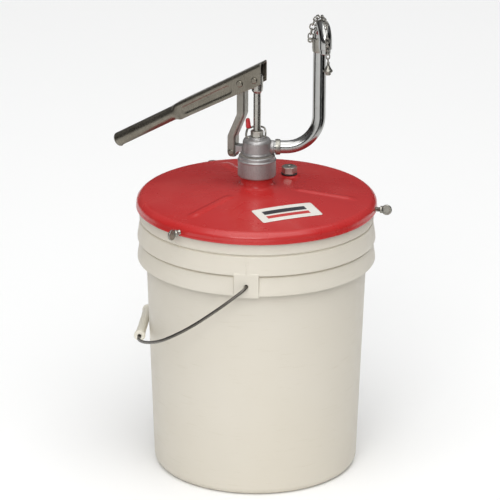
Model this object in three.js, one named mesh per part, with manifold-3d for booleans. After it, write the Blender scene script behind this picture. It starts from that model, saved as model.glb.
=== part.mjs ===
// Hand lever gear-oil bucket pump on a plastic pail.
//
// Units are millimetres, +Z is up, and the origin is the centre of the pail's flat bottom.
// The bail ears stand on the Y axis. The pump stands on the Z axis.
// A gap of about 0.3 mm is left between pieces that touch, so each piece stays its own solid.

import * as THREE from 'three';
import { mergeVertices } from 'three/addons/utils/BufferGeometryUtils.js';
import Module from 'manifold-3d';

const wasm = await Module();
wasm.setup();

const { cos, sin, hypot, PI } = Math;
const degrees = (angle) => angle * PI / 180;

// ---------------------------------------------------------------- driving dimensions

const gap = 0.3;

const pail = {
  height: 359.5,
  floor: 3,
  wall: 2.4,
  baseRadius: 132.2,
  bandRadius: 152.9,
  rimRadius: 149,
  mouthRadius: 144.9,
  taper: 0.035,
  bandBottom: 280,
  bandPitch: 26,
};

const bail = {
  pivotHeight: 293,
  hang: degrees(37.2),
  reach: 184,
  wireRadius: 2,
  gripRadius: 7.5,
  gripLength: 100,
};

const cover = {
  sheet: 1.5,
  radius: 154.5,
  skirtBottom: 348.6,
  shoulderRadius: 148,
  shoulderHeight: 363.4,
  padRadius: 38,
  padHeight: 374.8,
  neckRadius: 20.5,
  neckTop: 388.6,
  ribAngle: degrees(-6),
  ribCount: 3,
};

const screw = {
  height: 353.5,
  radius: 3.15,
  spadeRadius: 6.8,
  angles: [degrees(-5.8), degrees(115), degrees(236)],
  spadeRolls: [0, PI / 2, 0],
};

const head = {
  bottom: 389,
  collarRadius: 24.75,
  collarTop: 411,
  seamTop: 417,
  bodyRadius: 18.7,
  bodyTop: 437.7,
  stubRadius: 17,
  stubBottom: 357,
  glandTop: 441,
};

const cylinder = { radius: 14.3, bore: 12.7, bottom: 26, top: 384 };

const rod = { radius: 4.8, top: 525, bottom: 88 };

// The lever swings in a vertical plane through the pump's axis. In that plane x runs towards
// the rod end of the lever, and the grip lies on the negative side.
const leverPlane = degrees(-17.3);
const rodPin = { x: 0, z: 518, radius: 2.75 };
const fulcrum = { x: -19.7, z: 511.4, radius: 3 };
const linkFoot = { x: -32.3, z: 418, radius: 2.75 };
const leverSlope = degrees(29.4);
const leverLength = 219.5;
const leverWidth = 23;
const gripWidth = 17;
const gripOffset = 5.5;

// The spout leaves the pump head along its own x axis, rises, and hooks over to one side.
const spoutPlane = degrees(4.7);
const spout = {
  outletHeight: 427,
  outletX: 22.4,
  radius: 8.3,
  bore: 6.9,
  bendRadius: 42,
  riserX: 78.5,
  hookHeight: 574,
  hookRadius: 18,
  hookAngle: degrees(-80),
  legBottom: 568,
};

// ---------------------------------------------------------------- materials

const finish = (color, roughness, metalness) =>
  new THREE.MeshStandardMaterial({ color, roughness, metalness });

const materials = {
  pail: finish('#ece3c4', 0.55, 0),
  redPaint: finish('#cf2f30', 0.32, 0),
  casting: finish('#a09d98', 0.5, 0.7),
  zinc: finish('#bdbbb2', 0.38, 0.9),
  chrome: finish('#cfcfcd', 0.12, 1),
  steel: finish('#8d8b86', 0.4, 0.9),
  brass: finish('#c4a35a', 0.35, 0.9),
  rubber: finish('#2a2a2a', 0.8, 0),
  whiteGrip: finish('#efeee9', 0.5, 0),
  redSleeve: finish('#d5302f', 0.45, 0),
  label: finish('#f2f0ea', 0.4, 0),
};

// ---------------------------------------------------------------- solid helpers

// Signed volume of an indexed triangle mesh.
function volumeOf(geometry) {
  const p = geometry.attributes.position;
  const index = geometry.index.array;
  const a = new THREE.Vector3();
  const b = new THREE.Vector3();
  const c = new THREE.Vector3();
  let volume = 0;
  for (let i = 0; i < index.length; i += 3) {
    a.fromBufferAttribute(p, index[i]);
    b.fromBufferAttribute(p, index[i + 1]);
    c.fromBufferAttribute(p, index[i + 2]);
    volume += a.dot(b.cross(c)) / 6;
  }
  return volume;
}

// Keep positions only, share vertices, drop collapsed triangles and face outwards.
function clean(geometry) {
  const bare = new THREE.BufferGeometry();
  bare.setAttribute('position', geometry.attributes.position.clone());
  bare.setIndex(geometry.index);
  const merged = mergeVertices(bare, 1e-4);
  const kept = [];
  for (let i = 0; i < merged.index.count; i += 3) {
    const [a, b, c] = merged.index.array.slice(i, i + 3);
    if (a !== b && b !== c && c !== a) kept.push(a, b, c);
  }
  merged.setIndex(kept);
  if (volumeOf(merged) < 0) {
    for (let i = 0; i < kept.length; i += 3) [kept[i], kept[i + 1]] = [kept[i + 1], kept[i]];
    merged.setIndex(kept);
  }
  return merged;
}

function toManifold(geometry) {
  const bare = clean(geometry);
  return new wasm.Manifold(new wasm.Mesh({
    numProp: 3,
    vertProperties: new Float32Array(bare.attributes.position.array),
    triVerts: new Uint32Array(bare.index.array),
  }));
}

function fromManifold(solid) {
  const mesh = solid.getMesh();
  const geometry = new THREE.BufferGeometry();
  geometry.setAttribute('position', new THREE.BufferAttribute(mesh.vertProperties, 3));
  geometry.setIndex(new THREE.BufferAttribute(mesh.triVerts, 1));
  return geometry;
}

function join(first, ...others) {
  return fromManifold(others.reduce((sum, next) => sum.add(toManifold(next)), toManifold(first)));
}

function cut(base, ...tools) {
  return fromManifold(tools.reduce((rest, tool) => rest.subtract(toManifold(tool)), toManifold(base)));
}

// Revolve a profile of [radius, height] points about Z.
function turned(profile, segments) {
  const points = profile.map(([radius, height]) => new THREE.Vector2(radius, height));
  return clean(new THREE.LatheGeometry(points, segments).rotateX(PI / 2));
}

// A washer, tube or bush: the same profile closed on itself.
function ring(inner, outer, bottom, top, segments) {
  return turned([[inner, bottom], [outer, bottom], [outer, top], [inner, top], [inner, bottom]], segments);
}

// A solid cylinder between two heights.
function disc(radius, bottom, top, segments) {
  return turned([[0, bottom], [radius, bottom], [radius, top], [0, top]], segments);
}

// Stand a shape that was built along Z on its side.
const alongX = (geometry) => geometry.rotateY(PI / 2);
const alongY = (geometry) => geometry.rotateX(-PI / 2);

function box(x0, x1, y0, y1, z0, z1) {
  return new THREE.BoxGeometry(x1 - x0, y1 - y0, z1 - z0)
    .translate((x0 + x1) / 2, (y0 + y1) / 2, (z0 + z1) / 2);
}

// A prism with a hexagon of the given width across flats.
function hexagon(flats, bottom, top) {
  return disc(flats / 2 / cos(PI / 6), bottom, top, 6);
}

// Extrude an outline drawn in the XZ plane, centred on y = 0.
function plate(outline, width) {
  const shape = new THREE.Shape(outline.map(([x, z]) => new THREE.Vector2(x, z)));
  return clean(new THREE.ExtrudeGeometry(shape, { depth: width, bevelEnabled: false })
    .translate(0, 0, -width / 2)
    .rotateX(PI / 2));
}

function circle(radius, points) {
  return Array.from({ length: points }, (_, i) => new THREE.Vector2(
    radius * cos(2 * PI * i / points),
    radius * sin(2 * PI * i / points),
  ));
}

// Sweep a round section along a curve; a bore makes it a tube.
function swept(curve, radius, sides, steps, bore = 0) {
  const section = new THREE.Shape(circle(radius, sides));
  if (bore > 0) section.holes.push(new THREE.Path(circle(bore, sides)));
  return clean(new THREE.ExtrudeGeometry(section, { steps, extrudePath: curve, bevelEnabled: false }));
}

function smooth(points) {
  return new THREE.CatmullRomCurve3(points.map((p) => new THREE.Vector3(...p)), false, 'centripetal');
}

// A circular arc that starts at centre + radius * start and turns towards side.
class Arc extends THREE.Curve {
  constructor(centre, radius, start, side, sweep) {
    super();
    Object.assign(this, { centre, radius, start, side, sweep });
  }

  getPoint(t, target = new THREE.Vector3()) {
    const angle = t * this.sweep;
    return target.copy(this.centre)
      .addScaledVector(this.start, this.radius * cos(angle))
      .addScaledVector(this.side, this.radius * sin(angle));
  }
}

const root = new THREE.Group();
root.name = 'gear_oil_pump';

function turnedGroup(angle) {
  const group = new THREE.Group();
  group.rotation.z = angle;
  root.add(group);
  return group;
}

const leverGroup = turnedGroup(leverPlane);
const spoutGroup = turnedGroup(spoutPlane);

function piece(name, geometry, material, parent = root) {
  const mesh = new THREE.Mesh(geometry, material);
  mesh.name = name;
  parent.add(mesh);
  return mesh;
}

// ---------------------------------------------------------------- pail

const roundSegments = 48;

// Outer radius of the tapered wall at a height.
const wallRadius = (height) => pail.baseRadius + (height - 8) * pail.taper;

// One band under the rim: a lip that flares out at its lower edge, then a groove above it.
function bandProfile(bottom) {
  return [
    [pail.bandRadius, bottom],
    [pail.bandRadius, bottom + 4],
    [pail.bandRadius - 3.1, bottom + pail.bandPitch - 2.5],
    [pail.bandRadius - 5.9, bottom + pail.bandPitch - 1],
  ];
}

function buildPail() {
  const lowBand = pail.bandBottom;
  const highBand = lowBand + pail.bandPitch + 1;
  const skirtInside = pail.bandRadius - 2.5;
  const pocketTop = lowBand + 16;
  const profile = [
    [0, 0],
    [124, 0],
    [129.5, 2.2],
    [pail.baseRadius, 8],
    [wallRadius(pocketTop), pocketTop],
    [skirtInside - 1.8, pocketTop],
    [skirtInside, lowBand],
    ...bandProfile(lowBand),
    ...bandProfile(highBand),
    [pail.rimRadius + 1.6, highBand + pail.bandPitch + 1],
    [pail.rimRadius, highBand + pail.bandPitch + 10],
    [pail.rimRadius, pail.height - 2],
    [pail.rimRadius - 2, pail.height],
    [pail.mouthRadius + 0.5, pail.height],
    [pail.mouthRadius, pail.height - 2.5],
    [pail.mouthRadius, pocketTop + 12],
    [wallRadius(pocketTop) - pail.wall, pocketTop + 3],
    [wallRadius(8) - pail.wall, pail.floor + 2],
    [126, pail.floor],
    [0, pail.floor],
  ];
  const ears = [-1, 1].map((side) => buildEar(side, lowBand));
  const holes = [-1, 1].map((side) => alongY(disc(bail.wireRadius + 0.5, 0, 10, 10))
    .translate(0, side > 0 ? 144.6 : -154.6, bail.pivotHeight));
  return cut(join(turned(profile, roundSegments), ...ears), ...holes);
}

// A flat pad that fills the lower band, for the end of the bail to hook into.
function buildEar(side, lowBand) {
  const inner = 142.6;
  const outer = 153.4;
  const [y0, y1] = side > 0 ? [inner, outer] : [-outer, -inner];
  return box(-15.5, 15.5, y0, y1, lowBand - 2, lowBand + 30);
}

piece('pail', buildPail(), materials.pail);

// ---------------------------------------------------------------- bail

// A point of the bail, from its reach along the hanging plane and its place across the pail.
const bailPoint = (reach, y) => [
  -reach * cos(bail.hang),
  y,
  bail.pivotHeight - reach * sin(bail.hang),
];

function buildBailWire() {
  const half = [
    [0, 145.2], [0, 156], [3, 160.5], [12, 163.5], [48, 168], [89, 163], [131, 141],
    [157, 112], [176, 80], [bail.reach, 58], [bail.reach, 40], [bail.reach, 15],
  ];
  const near = half.map(([reach, y]) => bailPoint(reach, -y));
  const far = half.map(([reach, y]) => bailPoint(reach, y)).reverse();
  return swept(smooth([...near, ...far]), bail.wireRadius, 6, 64);
}

function buildBailGrip() {
  const half = bail.gripLength / 2;
  const tube = ring(bail.wireRadius + 0.6, bail.gripRadius, -half, half, 14);
  return alongY(tube).translate(...bailPoint(bail.reach, 0));
}

piece('bail_wire', buildBailWire(), materials.steel);
piece('bail_grip', buildBailGrip(), materials.whiteGrip);

// ---------------------------------------------------------------- cover

const coneSlope = (cover.padHeight - cover.shoulderHeight) / (cover.shoulderRadius - cover.padRadius);

// Height of the cover's sloping top at a radius.
const coverHeight = (radius) => cover.shoulderHeight + (cover.shoulderRadius - radius) * coneSlope;

const fillPlug = { x: 37.8, y: 52.3, hole: 6.2, bossRadius: 12.5, bossTop: 374.2, flats: 17.7 };

function buildCoverShell() {
  const { sheet } = cover;
  const outside = [
    [cover.radius, cover.skirtBottom],
    [cover.radius, cover.shoulderHeight - 5],
    [cover.radius - 1.4, cover.shoulderHeight - 1.6],
    [cover.radius - 4.4, cover.shoulderHeight - 0.2],
    [cover.shoulderRadius, cover.shoulderHeight],
    [cover.padRadius, cover.padHeight],
    [28, cover.padHeight + 0.4],
    [cover.neckRadius + 1.5, cover.padHeight + 2.4],
    [cover.neckRadius, cover.padHeight + 5.5],
    [cover.neckRadius, cover.neckTop],
    [head.stubRadius + gap, cover.neckTop],
  ];
  const inside = [
    [head.stubRadius + gap, cover.neckTop - sheet],
    [cover.neckRadius - sheet, cover.neckTop - sheet],
    [cover.neckRadius - sheet, cover.padHeight + 4],
    [28, cover.padHeight - sheet],
    [cover.padRadius, cover.padHeight - sheet],
    [cover.shoulderRadius, cover.shoulderHeight - sheet],
    [cover.radius - sheet - 1, cover.shoulderHeight - sheet - 2],
    [cover.radius - sheet, cover.skirtBottom],
  ];
  return turned([...outside, ...inside, outside[0]], roundSegments);
}

// A pressed stiffening rib: a low ridge from near the pad to near the shoulder.
function buildRib(angle) {
  const inner = 48;
  const outer = 132;
  const rise = 2.5;
  const drop = 0.6;
  const halfWidth = 8;
  const ridge = new THREE.Shape([
    new THREE.Vector2(-halfWidth, -drop),
    new THREE.Vector2(halfWidth, -drop),
    new THREE.Vector2(halfWidth - 4.5, rise),
    new THREE.Vector2(4.5 - halfWidth, rise),
  ]);
  const length = hypot(outer - inner, coverHeight(inner) - coverHeight(outer));
  return clean(new THREE.ExtrudeGeometry(ridge, { depth: length, bevelEnabled: false })
    .rotateX(PI / 2)
    .rotateZ(PI / 2)
    .rotateY(Math.atan(coneSlope))
    .translate(inner, 0, coverHeight(inner))
    .rotateZ(angle));
}

function buildCover() {
  const ribs = Array.from({ length: cover.ribCount },
    (_, i) => buildRib(cover.ribAngle + 2 * PI * i / cover.ribCount));
  const boss = disc(fillPlug.bossRadius, cover.shoulderHeight + 7.2, fillPlug.bossTop, 20)
    .translate(fillPlug.x, fillPlug.y, 0);
  const fillHole = disc(fillPlug.hole + gap, 360, 380, 16).translate(fillPlug.x, fillPlug.y, 0);
  const screwHoles = screw.angles.map((angle) => alongX(disc(screw.radius + gap, 150, 158, 10))
    .rotateZ(angle)
    .translate(0, 0, screw.height));
  return cut(join(buildCoverShell(), ...ribs, boss), fillHole, ...screwHoles);
}

// A thin sheet that lies on the sloping cover.
function buildLabel() {
  const [length, width, thickness] = [82, 38.5, 0.6];
  const [columns, rows] = [8, 4];
  const radius = 95.3;
  const bearing = degrees(-61.6);
  const turn = degrees(28.6);
  const blank = new THREE.BoxGeometry(length, width, thickness, columns, rows, 1)
    .rotateZ(turn)
    .translate(radius * cos(bearing), radius * sin(bearing), 0);
  const p = blank.attributes.position;
  for (let i = 0; i < p.count; i += 1) {
    const rest = coverHeight(hypot(p.getX(i), p.getY(i))) + gap + thickness / 2;
    p.setZ(i, p.getZ(i) + rest);
  }
  return clean(blank);
}

function buildThumbScrew(angle, spadeRoll) {
  const tip = pail.rimRadius + 0.5;
  const neck = 160;
  const shank = alongX(turned([
    [0, tip], [screw.radius - 0.8, tip], [screw.radius, tip + 1.5], [screw.radius, neck],
    [screw.radius + 1.6, neck + 0.5], [screw.radius + 1.6, neck + 3.5], [0, neck + 3.5],
  ], 10));
  const spade = alongY(disc(screw.spadeRadius, -1.5, 1.5, 16))
    .rotateX(spadeRoll)
    .translate(neck + 8.4, 0, 0);
  return join(shank, spade).rotateZ(angle).translate(0, 0, screw.height);
}

function buildFillPlug() {
  const seat = fillPlug.bossTop + 2.4;
  const headPart = hexagon(fillPlug.flats, seat, seat + 8.6);
  const shank = disc(fillPlug.hole, seat - 11, seat + 1, 16);
  return join(headPart, shank).translate(fillPlug.x, fillPlug.y, 0);
}

piece('cover', buildCover(), materials.redPaint);
piece('cover_gasket', ring(145, 147.6, pail.height + gap, pail.height + 1.9, roundSegments), materials.rubber);
piece('label_plate', buildLabel(), materials.label);
screw.angles.forEach((angle, i) => piece(
  `thumb_screw_${i + 1}`,
  buildThumbScrew(angle, screw.spadeRolls[i]),
  materials.zinc,
));
piece('fill_plug', buildFillPlug(), materials.zinc);
piece(
  'fill_plug_washer',
  ring(fillPlug.hole + gap, 10.5, fillPlug.bossTop + gap, fillPlug.bossTop + 2.1, 20)
    .translate(fillPlug.x, fillPlug.y, 0),
  materials.rubber,
);

// ---------------------------------------------------------------- pump head

const headCavity = 12.7;
const packingRadius = 7.2;
const latch = { wireRadius: 1.2, pivotHeight: 439.4 };

// Lower casting: a collar that stands on the cover's neck, with a threaded stub through it.
function buildHeadBase() {
  const threadBore = cylinder.radius + gap;
  return turned([
    [threadBore, head.stubBottom],
    [head.stubRadius, head.stubBottom],
    [head.stubRadius, head.bottom],
    [head.collarRadius - 1.2, head.bottom],
    [head.collarRadius, head.bottom + 1.5],
    [head.collarRadius, head.collarTop],
    [head.collarRadius - 1.4, head.collarTop + 1.2],
    [head.collarRadius - 1.4, head.seamTop - 1.2],
    [head.collarRadius - 2.6, head.seamTop],
    [headCavity, head.seamTop],
    [headCavity, cylinder.top + gap],
    [threadBore, cylinder.top + gap],
    [threadBore, head.stubBottom],
  ], 32);
}

// The side boss and nipple that the spout slides over.
function buildOutletBoss() {
  const boss = alongX(disc(8.6, 8, 22, 18));
  const nipple = alongX(disc(spout.bore - 0.4, 20, 31, 16));
  return [boss, nipple].map((part) => part
    .translate(0, 0, spout.outletHeight)
    .rotateZ(spoutPlane));
}

// The ear that carries the foot of the fulcrum link.
function buildLinkEar() {
  const reach = linkFoot.x - 5.5;
  return plate([
    [-12, 427], [-12, 418.6], [-24.6, 418.6], [-28, 412.6], [linkFoot.x, 411.9], [reach, 415.5],
    [reach, 421.5], [-29, 427],
  ], 12).rotateZ(leverPlane);
}

function buildPumpHead() {
  const bottom = head.seamTop + 1.2;
  const body = turned([
    [0, bottom],
    [head.bodyRadius + 1, bottom],
    [head.bodyRadius, bottom + 2.5],
    [head.bodyRadius - 0.4, head.bodyTop - 1.6],
    [head.bodyRadius - 2.4, head.bodyTop],
    [10.2, head.bodyTop],
    [10.2, head.glandTop],
    [0, head.glandTop],
  ], 20);
  const cavity = disc(headCavity, bottom - 1, 433, 20);
  const glandBore = disc(packingRadius, 430, head.glandTop + 1, 16);
  const outletBore = alongX(disc(4.6, 5, 33, 12)).translate(0, 0, spout.outletHeight).rotateZ(spoutPlane);
  const pivotHole = alongY(disc(linkFoot.radius + gap, -8, 8, 12))
    .translate(linkFoot.x, 0, linkFoot.z)
    .rotateZ(leverPlane);
  const latchHoles = [-1, 1].map((side) => alongX(disc(latch.wireRadius + gap, 0, 3, 8))
    .translate(side > 0 ? 7.7 : -10.7, 0, latch.pivotHeight)
    .rotateZ(spoutPlane));
  return cut(
    join(body, ...buildOutletBoss(), buildLinkEar()),
    cavity, glandBore, outletBore, pivotHole, ...latchHoles,
  );
}

// The nut that presses the packing down round the rod.
function buildGlandNut() {
  const bore = rod.radius + gap;
  const skirt = ring(bore, packingRadius - gap, head.glandTop - 2.6, head.glandTop + 1, 16);
  const body = cut(hexagon(14.6, head.glandTop + gap, head.glandTop + 8), disc(bore, 430, 460, 16));
  return join(skirt, body);
}

function buildMountingNut() {
  const top = cover.padHeight - cover.sheet - 2.4;
  return cut(hexagon(44, top - 9, top), disc(head.stubRadius + gap, 340, 380, 24));
}

piece('head_base', buildHeadBase(), materials.casting);
piece('head_gasket', ring(headCavity + 0.4, 21.5, head.seamTop + gap, head.seamTop + 0.9, 24), materials.rubber);
piece('pump_head', buildPumpHead(), materials.casting);
piece(
  'gland_packing',
  ring(rod.radius + gap, packingRadius - gap, 433.4, head.glandTop - 2.9, 16),
  materials.rubber,
);
piece('gland_nut', buildGlandNut(), materials.zinc);
piece(
  'mounting_washer',
  ring(head.stubRadius + gap, 26, cover.padHeight - cover.sheet - 2.1, cover.padHeight - cover.sheet - gap, 24),
  materials.zinc,
);
piece('mounting_nut', buildMountingNut(), materials.zinc);

// ---------------------------------------------------------------- spout

function spoutCurve() {
  const up = new THREE.Vector3(0, 0, 1);
  const away = new THREE.Vector3(cos(spout.hookAngle), sin(spout.hookAngle), 0);
  const elbowTop = spout.outletHeight + spout.bendRadius;
  const elbowX = spout.riserX - spout.bendRadius;
  const hookCentre = new THREE.Vector3(spout.riserX, 0, spout.hookHeight)
    .addScaledVector(away, spout.hookRadius);
  const path = new THREE.CurvePath();
  path.add(new THREE.LineCurve3(
    new THREE.Vector3(spout.outletX, 0, spout.outletHeight),
    new THREE.Vector3(elbowX, 0, spout.outletHeight),
  ));
  path.add(new Arc(
    new THREE.Vector3(elbowX, 0, elbowTop),
    spout.bendRadius,
    new THREE.Vector3(0, 0, -1),
    new THREE.Vector3(1, 0, 0),
    PI / 2,
  ));
  path.add(new THREE.LineCurve3(
    new THREE.Vector3(spout.riserX, 0, elbowTop),
    new THREE.Vector3(spout.riserX, 0, spout.hookHeight),
  ));
  path.add(new Arc(hookCentre, spout.hookRadius, away.clone().negate(), up, PI));
  const legTop = hookCentre.clone().addScaledVector(away, spout.hookRadius);
  path.add(new THREE.LineCurve3(legTop, legTop.clone().setZ(spout.legBottom)));
  return path;
}

const legX = spout.riserX + 2 * spout.hookRadius * cos(spout.hookAngle);
const legY = 2 * spout.hookRadius * sin(spout.hookAngle);

function buildOutletNut() {
  const bore = disc(spout.radius + gap, 20, 40, 16);
  return alongX(cut(disc(10.2, 23.4, 30, 20), bore)).translate(0, 0, spout.outletHeight);
}

function buildNozzleTip() {
  const bore = 4.6;
  return turned([
    [bore, 560.6],
    [5.6, 560.6],
    [6.6, 561.6],
    [7.4, spout.legBottom - gap],
    [spout.bore - gap, spout.legBottom - gap],
    [spout.bore - gap, spout.legBottom + 4],
    [bore, spout.legBottom + 4],
    [bore, 560.6],
  ], 16).translate(legX, legY, 0);
}

// A band round the riser with an eye for the plug's chain.
function buildChainCollar() {
  const band = ring(spout.radius + gap, spout.radius + 2.1, 553, 573, 16).translate(spout.riserX, 0, 0);
  const eye = cut(
    box(spout.riserX - 15.2, spout.riserX - spout.radius - 1.2, -1.2, 1.2, 565, 572),
    alongY(disc(1.4, -3, 3, 10)).translate(spout.riserX - 12.9, 0, 568.5),
  );
  return join(band, eye);
}

piece('outlet_nut', buildOutletNut(), materials.zinc, spoutGroup);
piece('delivery_pipe', swept(spoutCurve(), spout.radius, 12, 32, spout.bore), materials.chrome, spoutGroup);
piece('nozzle_tip', buildNozzleTip(), materials.chrome, spoutGroup);
piece('chain_collar', buildChainCollar(), materials.zinc, spoutGroup);

// ---------------------------------------------------------------- plug and chain

const chainRadius = 1.7;
const chainFront = [86.5, -46.5, 591];

// The part of the chain that lies over the hook.
function buildChainDrape() {
  const crest = spout.hookHeight + spout.hookRadius + spout.radius + chainRadius + 0.5;
  return swept(smooth([
    [65.6, 0, 574], [65, 0, 584], [66.6, -3, 595], [72, -10, crest - 1], [79, -17, crest + 0.4],
    [84, -27, crest - 0.8], [86, -37, crest - 5.2], [86.4, -43, 595],
  ]), chainRadius, 6, 20);
}

function buildChainTail() {
  const [x, y, z] = chainFront;
  return swept(smooth([[x, y, z], [x + 0.5, y - 0.6, z - 12], [x + 1.2, y - 0.4, z - 26], [x + 1.8, y, z - 39]]),
    chainRadius, 6, 8);
}

function buildNozzlePlug() {
  const [x, y, z] = chainFront;
  const top = z - 39.4;
  return turned([
    [0, top], [1.6, top], [1.8, top - 2.4], [5.6, top - 4], [5.8, top - 6], [4.4, top - 7],
    [3.4, top - 14.5], [0, top - 15],
  ], 14).translate(x + 1.8, y, 0);
}

piece('chain_drape', buildChainDrape(), materials.chrome, spoutGroup);
piece('chain_tail', buildChainTail(), materials.chrome, spoutGroup);
piece('nozzle_plug', buildNozzlePlug(), materials.zinc, spoutGroup);

// ---------------------------------------------------------------- rod catch

// A wire catch that pivots on the gland boss and passes behind the rod.
function buildLatchWire() {
  const low = latch.pivotHeight;
  return swept(smooth([
    [8.2, 0, low], [10.6, 0, low], [12.4, 0.4, low + 1.6], [12.6, 2, low + 8], [11, 6, low + 11.4],
    [4, 8.8, low + 12], [-4, 8.2, low + 12], [-8.6, 4.8, low + 11.6], [-10.5, 1.6, low + 13],
    [-12, 0.15, low + 23.9],
  ]), latch.wireRadius, 6, 26);
}

// The other foot of the catch, from its pivot up to the crossbar.
function buildLatchFoot() {
  const low = latch.pivotHeight;
  return swept(smooth([
    [-8.2, 0, low], [-10.8, 0, low], [-12, 0, low + 1.4], [-11.6, 0.6, low + 7], [-10.5, 1.6, low + 13],
  ]), latch.wireRadius, 6, 8);
}

function buildLatchSleeve() {
  const from = new THREE.Vector3(-10.8, 1.3, latch.pivotHeight + 14.4);
  const to = new THREE.Vector3(-12.2, 0.1, latch.pivotHeight + 25);
  const axis = to.clone().sub(from);
  const sleeve = turned([
    [latch.wireRadius + 0.6, 0], [3.2, 0], [3.2, axis.length() - 1], [2.2, axis.length()],
    [latch.wireRadius + 0.6, axis.length()], [latch.wireRadius + 0.6, 0],
  ], 12);
  sleeve.applyQuaternion(new THREE.Quaternion().setFromUnitVectors(
    new THREE.Vector3(0, 0, 1),
    axis.clone().normalize(),
  ));
  return sleeve.translate(from.x, from.y, from.z);
}

piece('latch_wire', join(buildLatchWire(), buildLatchFoot()), materials.zinc, spoutGroup);
piece('latch_sleeve', buildLatchSleeve(), materials.redSleeve, spoutGroup);

// ---------------------------------------------------------------- lever and link

// Lever outlines are drawn along the lever: s towards the grip, t square to it, from the rod pin.
const leverPoint = ([s, t]) => [
  rodPin.x - s * cos(leverSlope) - t * sin(leverSlope),
  rodPin.z - s * sin(leverSlope) + t * cos(leverSlope),
];

const leverWeb = 2.2;
const channelEnd = 128;

// Room round the rod pin for the difference between the true arc and the straight rod.
const rodPinSlack = 2.8;

// The pressed channel: a web on top and two flanges, open below and at the rod end.
function buildLeverChannel() {
  const outside = [
    [-18.4, 16.4], [-4.5, -8.2], [0, -8.6], [26, -7.2], [channelEnd - 8, -6.2], [channelEnd + 6, -3],
    [channelEnd + 6, 14.6],
  ];
  const inside = [
    [-40, 16.7 - leverWeb], [-40, -20], [channelEnd + 4, -20], [channelEnd - 4, 14.7 - leverWeb],
  ];
  const solid = plate(outside.map(leverPoint), leverWidth);
  return cut(solid, plate(inside.map(leverPoint), leverWidth - 2 * leverWeb));
}

// The grip: the channel's sides rolled nearly shut, with a slot along the underside.
function buildLeverGrip() {
  const radius = gripWidth / 2;
  const bore = radius - 2;
  const slot = 0.62;
  const arc = (r, from, to, points) => Array.from({ length: points }, (_, i) => {
    const angle = from + (to - from) * i / (points - 1);
    return new THREE.Vector2(r * cos(angle), r * sin(angle));
  });
  const start = -PI / 2 + slot;
  const end = 1.5 * PI - slot;
  const section = new THREE.Shape([...arc(radius, start, end, 15), ...arc(bore, end, start, 11)]);
  const length = leverLength - channelEnd + 6;
  const [x, z] = leverPoint([channelEnd - 6, gripOffset]);
  return clean(new THREE.ExtrudeGeometry(section, { depth: length, bevelEnabled: false })
    .rotateX(PI / 2)
    .rotateZ(-PI / 2)
    .rotateY(-leverSlope)
    .translate(x, 0, z));
}

// The domed end that closes the grip.
function buildGripCap() {
  const radius = gripWidth / 2;
  const [x, z] = leverPoint([leverLength - 3, gripOffset]);
  const cap = turned([[0, 0], [radius, 0], [radius, 2], [radius * 0.86, 5], [radius * 0.5, 7], [0, 7.6]], 15);
  return cap.rotateY(-PI / 2 - leverSlope).translate(x, 0, z);
}

function buildLever() {
  const crossHole = (pin, radius) => alongY(disc(radius, -14, 14, 14)).translate(pin.x, 0, pin.z);
  return cut(
    join(buildLeverChannel(), buildLeverGrip(), buildGripCap()),
    crossHole(fulcrum, fulcrum.radius + 0.15),
    crossHole(rodPin, rodPin.radius + rodPinSlack),
  );
}

// The link: a dogleg channel with its web towards the rod.
function buildLink() {
  const linkTop = fulcrum.z + 5.5;
  const linkBottom = linkFoot.z - 6.5;
  const outline = (front, back) => [
    [fulcrum.x + front, linkTop], [fulcrum.x + front, 472.5],
    [linkFoot.x + front, 440], [linkFoot.x + front, linkBottom],
    [linkFoot.x + back, linkBottom], [linkFoot.x + back, 439],
    [fulcrum.x + back, 466.5], [fulcrum.x + back, linkTop],
  ];
  const solid = plate(outline(5, -5), 17);
  const hollow = plate([
    [fulcrum.x + 3, 530], [fulcrum.x + 3, 472.9], [linkFoot.x + 3, 440.3], [linkFoot.x + 3, 400],
    [-60, 400], [-60, 530],
  ], 13);
  const ends = [fulcrum, linkFoot].map((pin) => alongY(disc(pin.radius + gap, -12, 12, 12))
    .translate(pin.x, 0, pin.z));
  const earRoom = box(-40, -20, -6.5, 6.5, 400, 429);
  return cut(solid, hollow, earRoom, ...ends);
}

// A headed pin across the lever plane, with a cotter hole end.
function crossPin(pin, reach) {
  return alongY(turned([
    [0, -reach - 2.2], [pin.radius + 1.7, -reach - 2.2], [pin.radius + 1.7, -reach], [pin.radius, -reach],
    [pin.radius, reach + 4], [0, reach + 4],
  ], 14)).translate(pin.x, 0, pin.z);
}

// A ring clip that keeps a pin in.
function pinClip(pin, at) {
  return alongY(ring(pin.radius + 0.1, pin.radius + 1.6, at, at + 1.6, 12)).translate(pin.x, 0, pin.z);
}

const leverSide = leverWidth / 2 + gap;
const linkSide = 8.5 + gap;

piece('link', buildLink(), materials.zinc, leverGroup);
piece('link_pin', crossPin(linkFoot, linkSide), materials.steel, leverGroup);
piece('link_clip', pinClip(linkFoot, linkSide + 0.4), materials.steel, leverGroup);
piece('lever', buildLever(), materials.zinc, leverGroup);
piece('fulcrum_pin', crossPin(fulcrum, leverSide), materials.steel, leverGroup);
piece('fulcrum_clip', pinClip(fulcrum, leverSide + 0.4), materials.steel, leverGroup);
piece('rod_pin', crossPin(rodPin, leverSide), materials.steel, leverGroup);
piece('rod_pin_clip', pinClip(rodPin, leverSide + 0.4), materials.steel, leverGroup);

// ---------------------------------------------------------------- rod, piston and foot valve

function buildRod() {
  const shaft = turned([
    [0, rod.bottom], [rod.radius - 0.6, rod.bottom], [rod.radius, rod.bottom + 1], [rod.radius, rod.top - 3],
    [rod.radius - 1.4, rod.top - 0.6], [0, rod.top],
  ], 16);
  return cut(shaft, alongY(disc(rodPin.radius + gap, -8, 8, 12)).translate(0, 0, rodPin.z));
}

const piston = { bottom: 62, top: 76, seat: 4.2, ballRadius: 5.6, grooveTop: 69 };

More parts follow.
